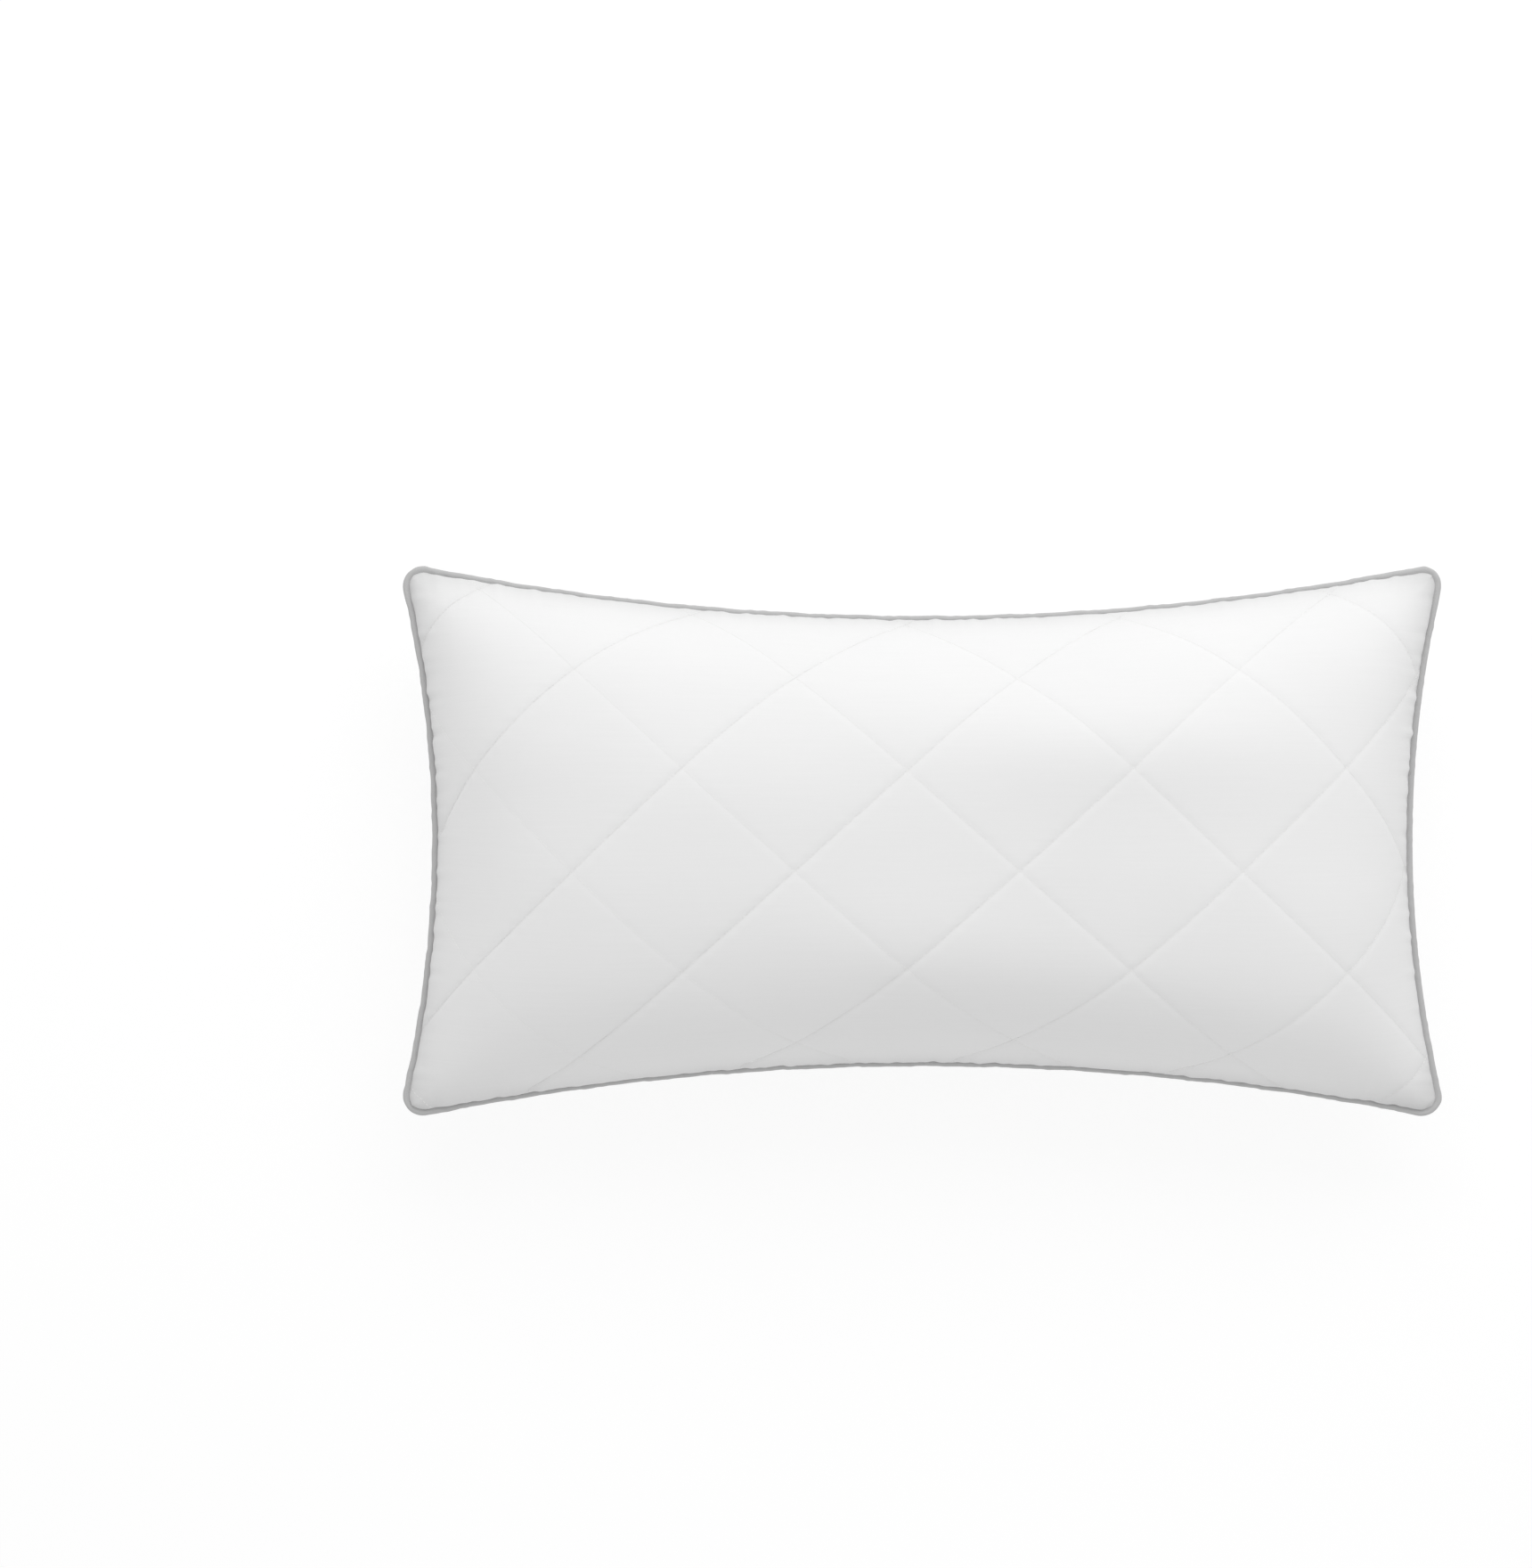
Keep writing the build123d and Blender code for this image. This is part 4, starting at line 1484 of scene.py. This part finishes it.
@dataclass
class Studio:
    """Pale floor, soft light and a camera above the front face."""

    outline: Outline
    image: tuple[int, int] = (1720, 1760)
    corner_span: float = 0.6779
    centre_shift: tuple[float, float] = (0.1020, -0.0364)
    distance: float = 3.2
    key_tilt: float = 48.0
    key_power: float = 23.0
    sky: float = 0.73
    floor_seen: float = 0.74
    floor_glow: float = 0.35
    glow: float = 1.06
    floor_half: float = 6.0
    key_distance: float = 2.4
    key_size: tuple[float, float] = (2.6, 1.4)
    key_side: float = 0.15
    half_span: float = 443.75 * MM

    def floor(self) -> bpy.types.Object:
        """A plain pale floor."""
        half = self.floor_half
        corners = np.array([(-half, -half, 0), (half, -half, 0), (half, half, 0), (-half, half, 0)])
        floor = add_mesh("floor", corners, [(0, 1, 2, 3)], smooth=False)
        material, bench, shader = new_material("floor_white")
        tone = bench.math("MULTIPLY_ADD", bench.noise(bench.own_place(), Scale=3.0), 0.01, 0.93)
        tint = bench.add("ShaderNodeCombineXYZ", X=tone, Y=tone, Z=tone)
        bench.feed(shader, Base_Color=tint.outputs[0], Roughness=0.9)
        glow = bench.add("ShaderNodeEmission", Strength=self.glow)
        mix = bench.add("ShaderNodeMixShader", Fac=bench.seen(self.floor_seen, self.floor_glow))
        bench.put(mix.inputs[1], shader.outputs[0])
        bench.put(mix.inputs[2], glow.outputs[0])
        bench.feed(material.node_tree.nodes["Material Output"], Surface=mix.outputs[0])
        floor.data.materials.append(material)
        return floor

    def lights(self) -> None:
        """One large soft key from the far long side, and an even pale sky."""
        light = bpy.data.lights.new("key", "AREA")
        light.shape, light.energy = "RECTANGLE", self.key_power
        light.size, light.size_y = self.key_size
        key = bpy.data.objects.new("key", light)
        tilt = math.radians(self.key_tilt)
        aim = Vector((0, 0, self.outline.seam_z))
        way = Vector((self.key_side, math.sin(tilt), math.cos(tilt)))
        key.location = aim + way * self.key_distance
        key.rotation_euler = (aim - key.location).to_track_quat("-Z", "Y").to_euler()
        bpy.context.scene.collection.objects.link(key)
        world = bpy.data.worlds.new("sky")
        world.use_nodes = True
        bench = NodeBench(world.node_tree)
        background = world.node_tree.nodes["Background"]
        bench.feed(background, Color=(1, 1, 1, 1), Strength=bench.seen(1.0, self.sky))
        bpy.context.scene.world = world

    def camera(self) -> bpy.types.Object:
        """A camera that looks straight down on the front face."""
        width = 2 * self.half_span / self.corner_span
        height = width * self.image[1] / self.image[0]
        data = bpy.data.cameras.new("camera")
        data.sensor_fit, data.sensor_height = "VERTICAL", 36.0
        data.lens = data.sensor_height * self.distance / height
        camera = bpy.data.objects.new("camera", data)
        across, up = self.centre_shift
        camera.location = (-across * width, -up * height, self.outline.seam_z + self.distance)
        bpy.context.scene.collection.objects.link(camera)
        bpy.context.scene.camera = camera
        return camera

    def build(self) -> None:
        """Set up the floor, lights, camera and plain colours."""
        self.floor()
        self.lights()
        self.camera()
        view = bpy.context.scene.view_settings
        view.view_transform, view.look, view.exposure = "Standard", "None", 0.0


# ---------------------------------------------------------------------------------------------
# The whole pillow
# ---------------------------------------------------------------------------------------------


KEPT_NODES = {
    "piping_cord": "core",
    "cover_seam_overlock": "thread",
    "inner_seam_overlock": "thread",
    "inner_shell_front": "ticking",
    "inner_shell_back": "ticking",
    "fibre_fill": "fill",
    "zip_tape_front": "tape",
    "zip_tape_back": "tape",
    "zip_top_stop_front": "metal",
    "zip_top_stop_back": "metal",
    "zip_bottom_stop": "metal",
}


def keep(piece: bpy.types.Object, slot: str, *nodes: str, body: str = "pillow") -> None:
    """Tie a finished piece to its body and hide the nodes that it stands for."""
    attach(piece, body)
    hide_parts(*nodes)
    LOG.info("%s: %d faces", piece.name, len(piece.data.polygons))


def build_cover(outline: Outline, quilting: Quilting, wardrobe: Wardrobe) -> dict[Face, QuiltedPanel]:
    """Build both quilted faces with their thread.

    Args:
        outline: The seam outline.
        quilting: The diamonds.
        wardrobe: The finishes.

    Returns:
        The panels by face.
    """
    settle = ClothSettle()
    thread = stitch_tree(wardrobe.materials["thread"])
    panels = {}
    faces = (
        (StuffedFace(Face.FRONT, outline, 112.0 * MM), FRONT_LUMPS),
        (StuffedFace(Face.BACK, outline, 96.0 * MM, zip_drop=0.0150), BACK_LUMPS),
    )
    for face, lumps in faces:
        name = face.side.name.lower()
        panel = QuiltedPanel(face, quilting, settle, lumps)
        piece = wardrobe.dress(panel.build(f"{name}_quilted_panel"), "cover")
        layers = [f"{name}_panel_{layer}" for layer in ("fabric", "wadding", "lining")]
        keep(piece, "cover_fabric", *layers)
        stitches = panel.stitches(f"{name}_stitches", thread)
        keep(stitches, "quilting_thread", f"{name}_quilting_thread")
        panels[face.side] = panel
    return panels


def build_edge(outline: Outline, wardrobe: Wardrobe, back: QuiltedPanel, nodes: dict) -> None:
    """Build the piping, the zip's coils, slider and pull, and the label.

    Args:
        outline: The seam outline.
        wardrobe: The finishes.
        back: The back panel, which the label lies against.
        nodes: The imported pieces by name.
    """
    piping = wardrobe.dress(Piping(outline).build("piping_tube"), "piping")
    keep(piping, "piping", "piping_sleeve")
    coils = SideZip(outline).coils(coil_tree(wardrobe.materials["nylon"]))
    for coil, side in zip(coils, ("front", "back")):
        keep(coil, "zip_coil", f"zip_coil_{side}")
    hardware = (("zip_slider", "zip_slider_body", "slider"), ("zip_pull_tab", "zip_pull", "pull"))
    for name, node, body in hardware:
        metal = wardrobe.dress(ZipHardware().build(name, nodes[node]), "metal")
        keep(metal, "zip_metal", node, body=body)
    maker = CareLabel(back)
    label = wardrobe.dress(maker.build("blank_label"), "label")
    keep(label, "label", "care_label")


def main() -> None:
    """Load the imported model, build every piece and set the scene."""
    logging.basicConfig(level=logging.INFO, format="%(name)s: %(message)s")
    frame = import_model()
    outline, quilting = Outline(), Quilting()
    wardrobe = Wardrobe(quilting)
    for node, finish in KEPT_NODES.items():
        wardrobe.dress(frame["nodes"][node], finish)
    panels = build_cover(outline, quilting, wardrobe)
    build_edge(outline, wardrobe, panels[Face.BACK], frame["nodes"])
    Studio(outline).build()


if __name__ == "__main__":
    main()
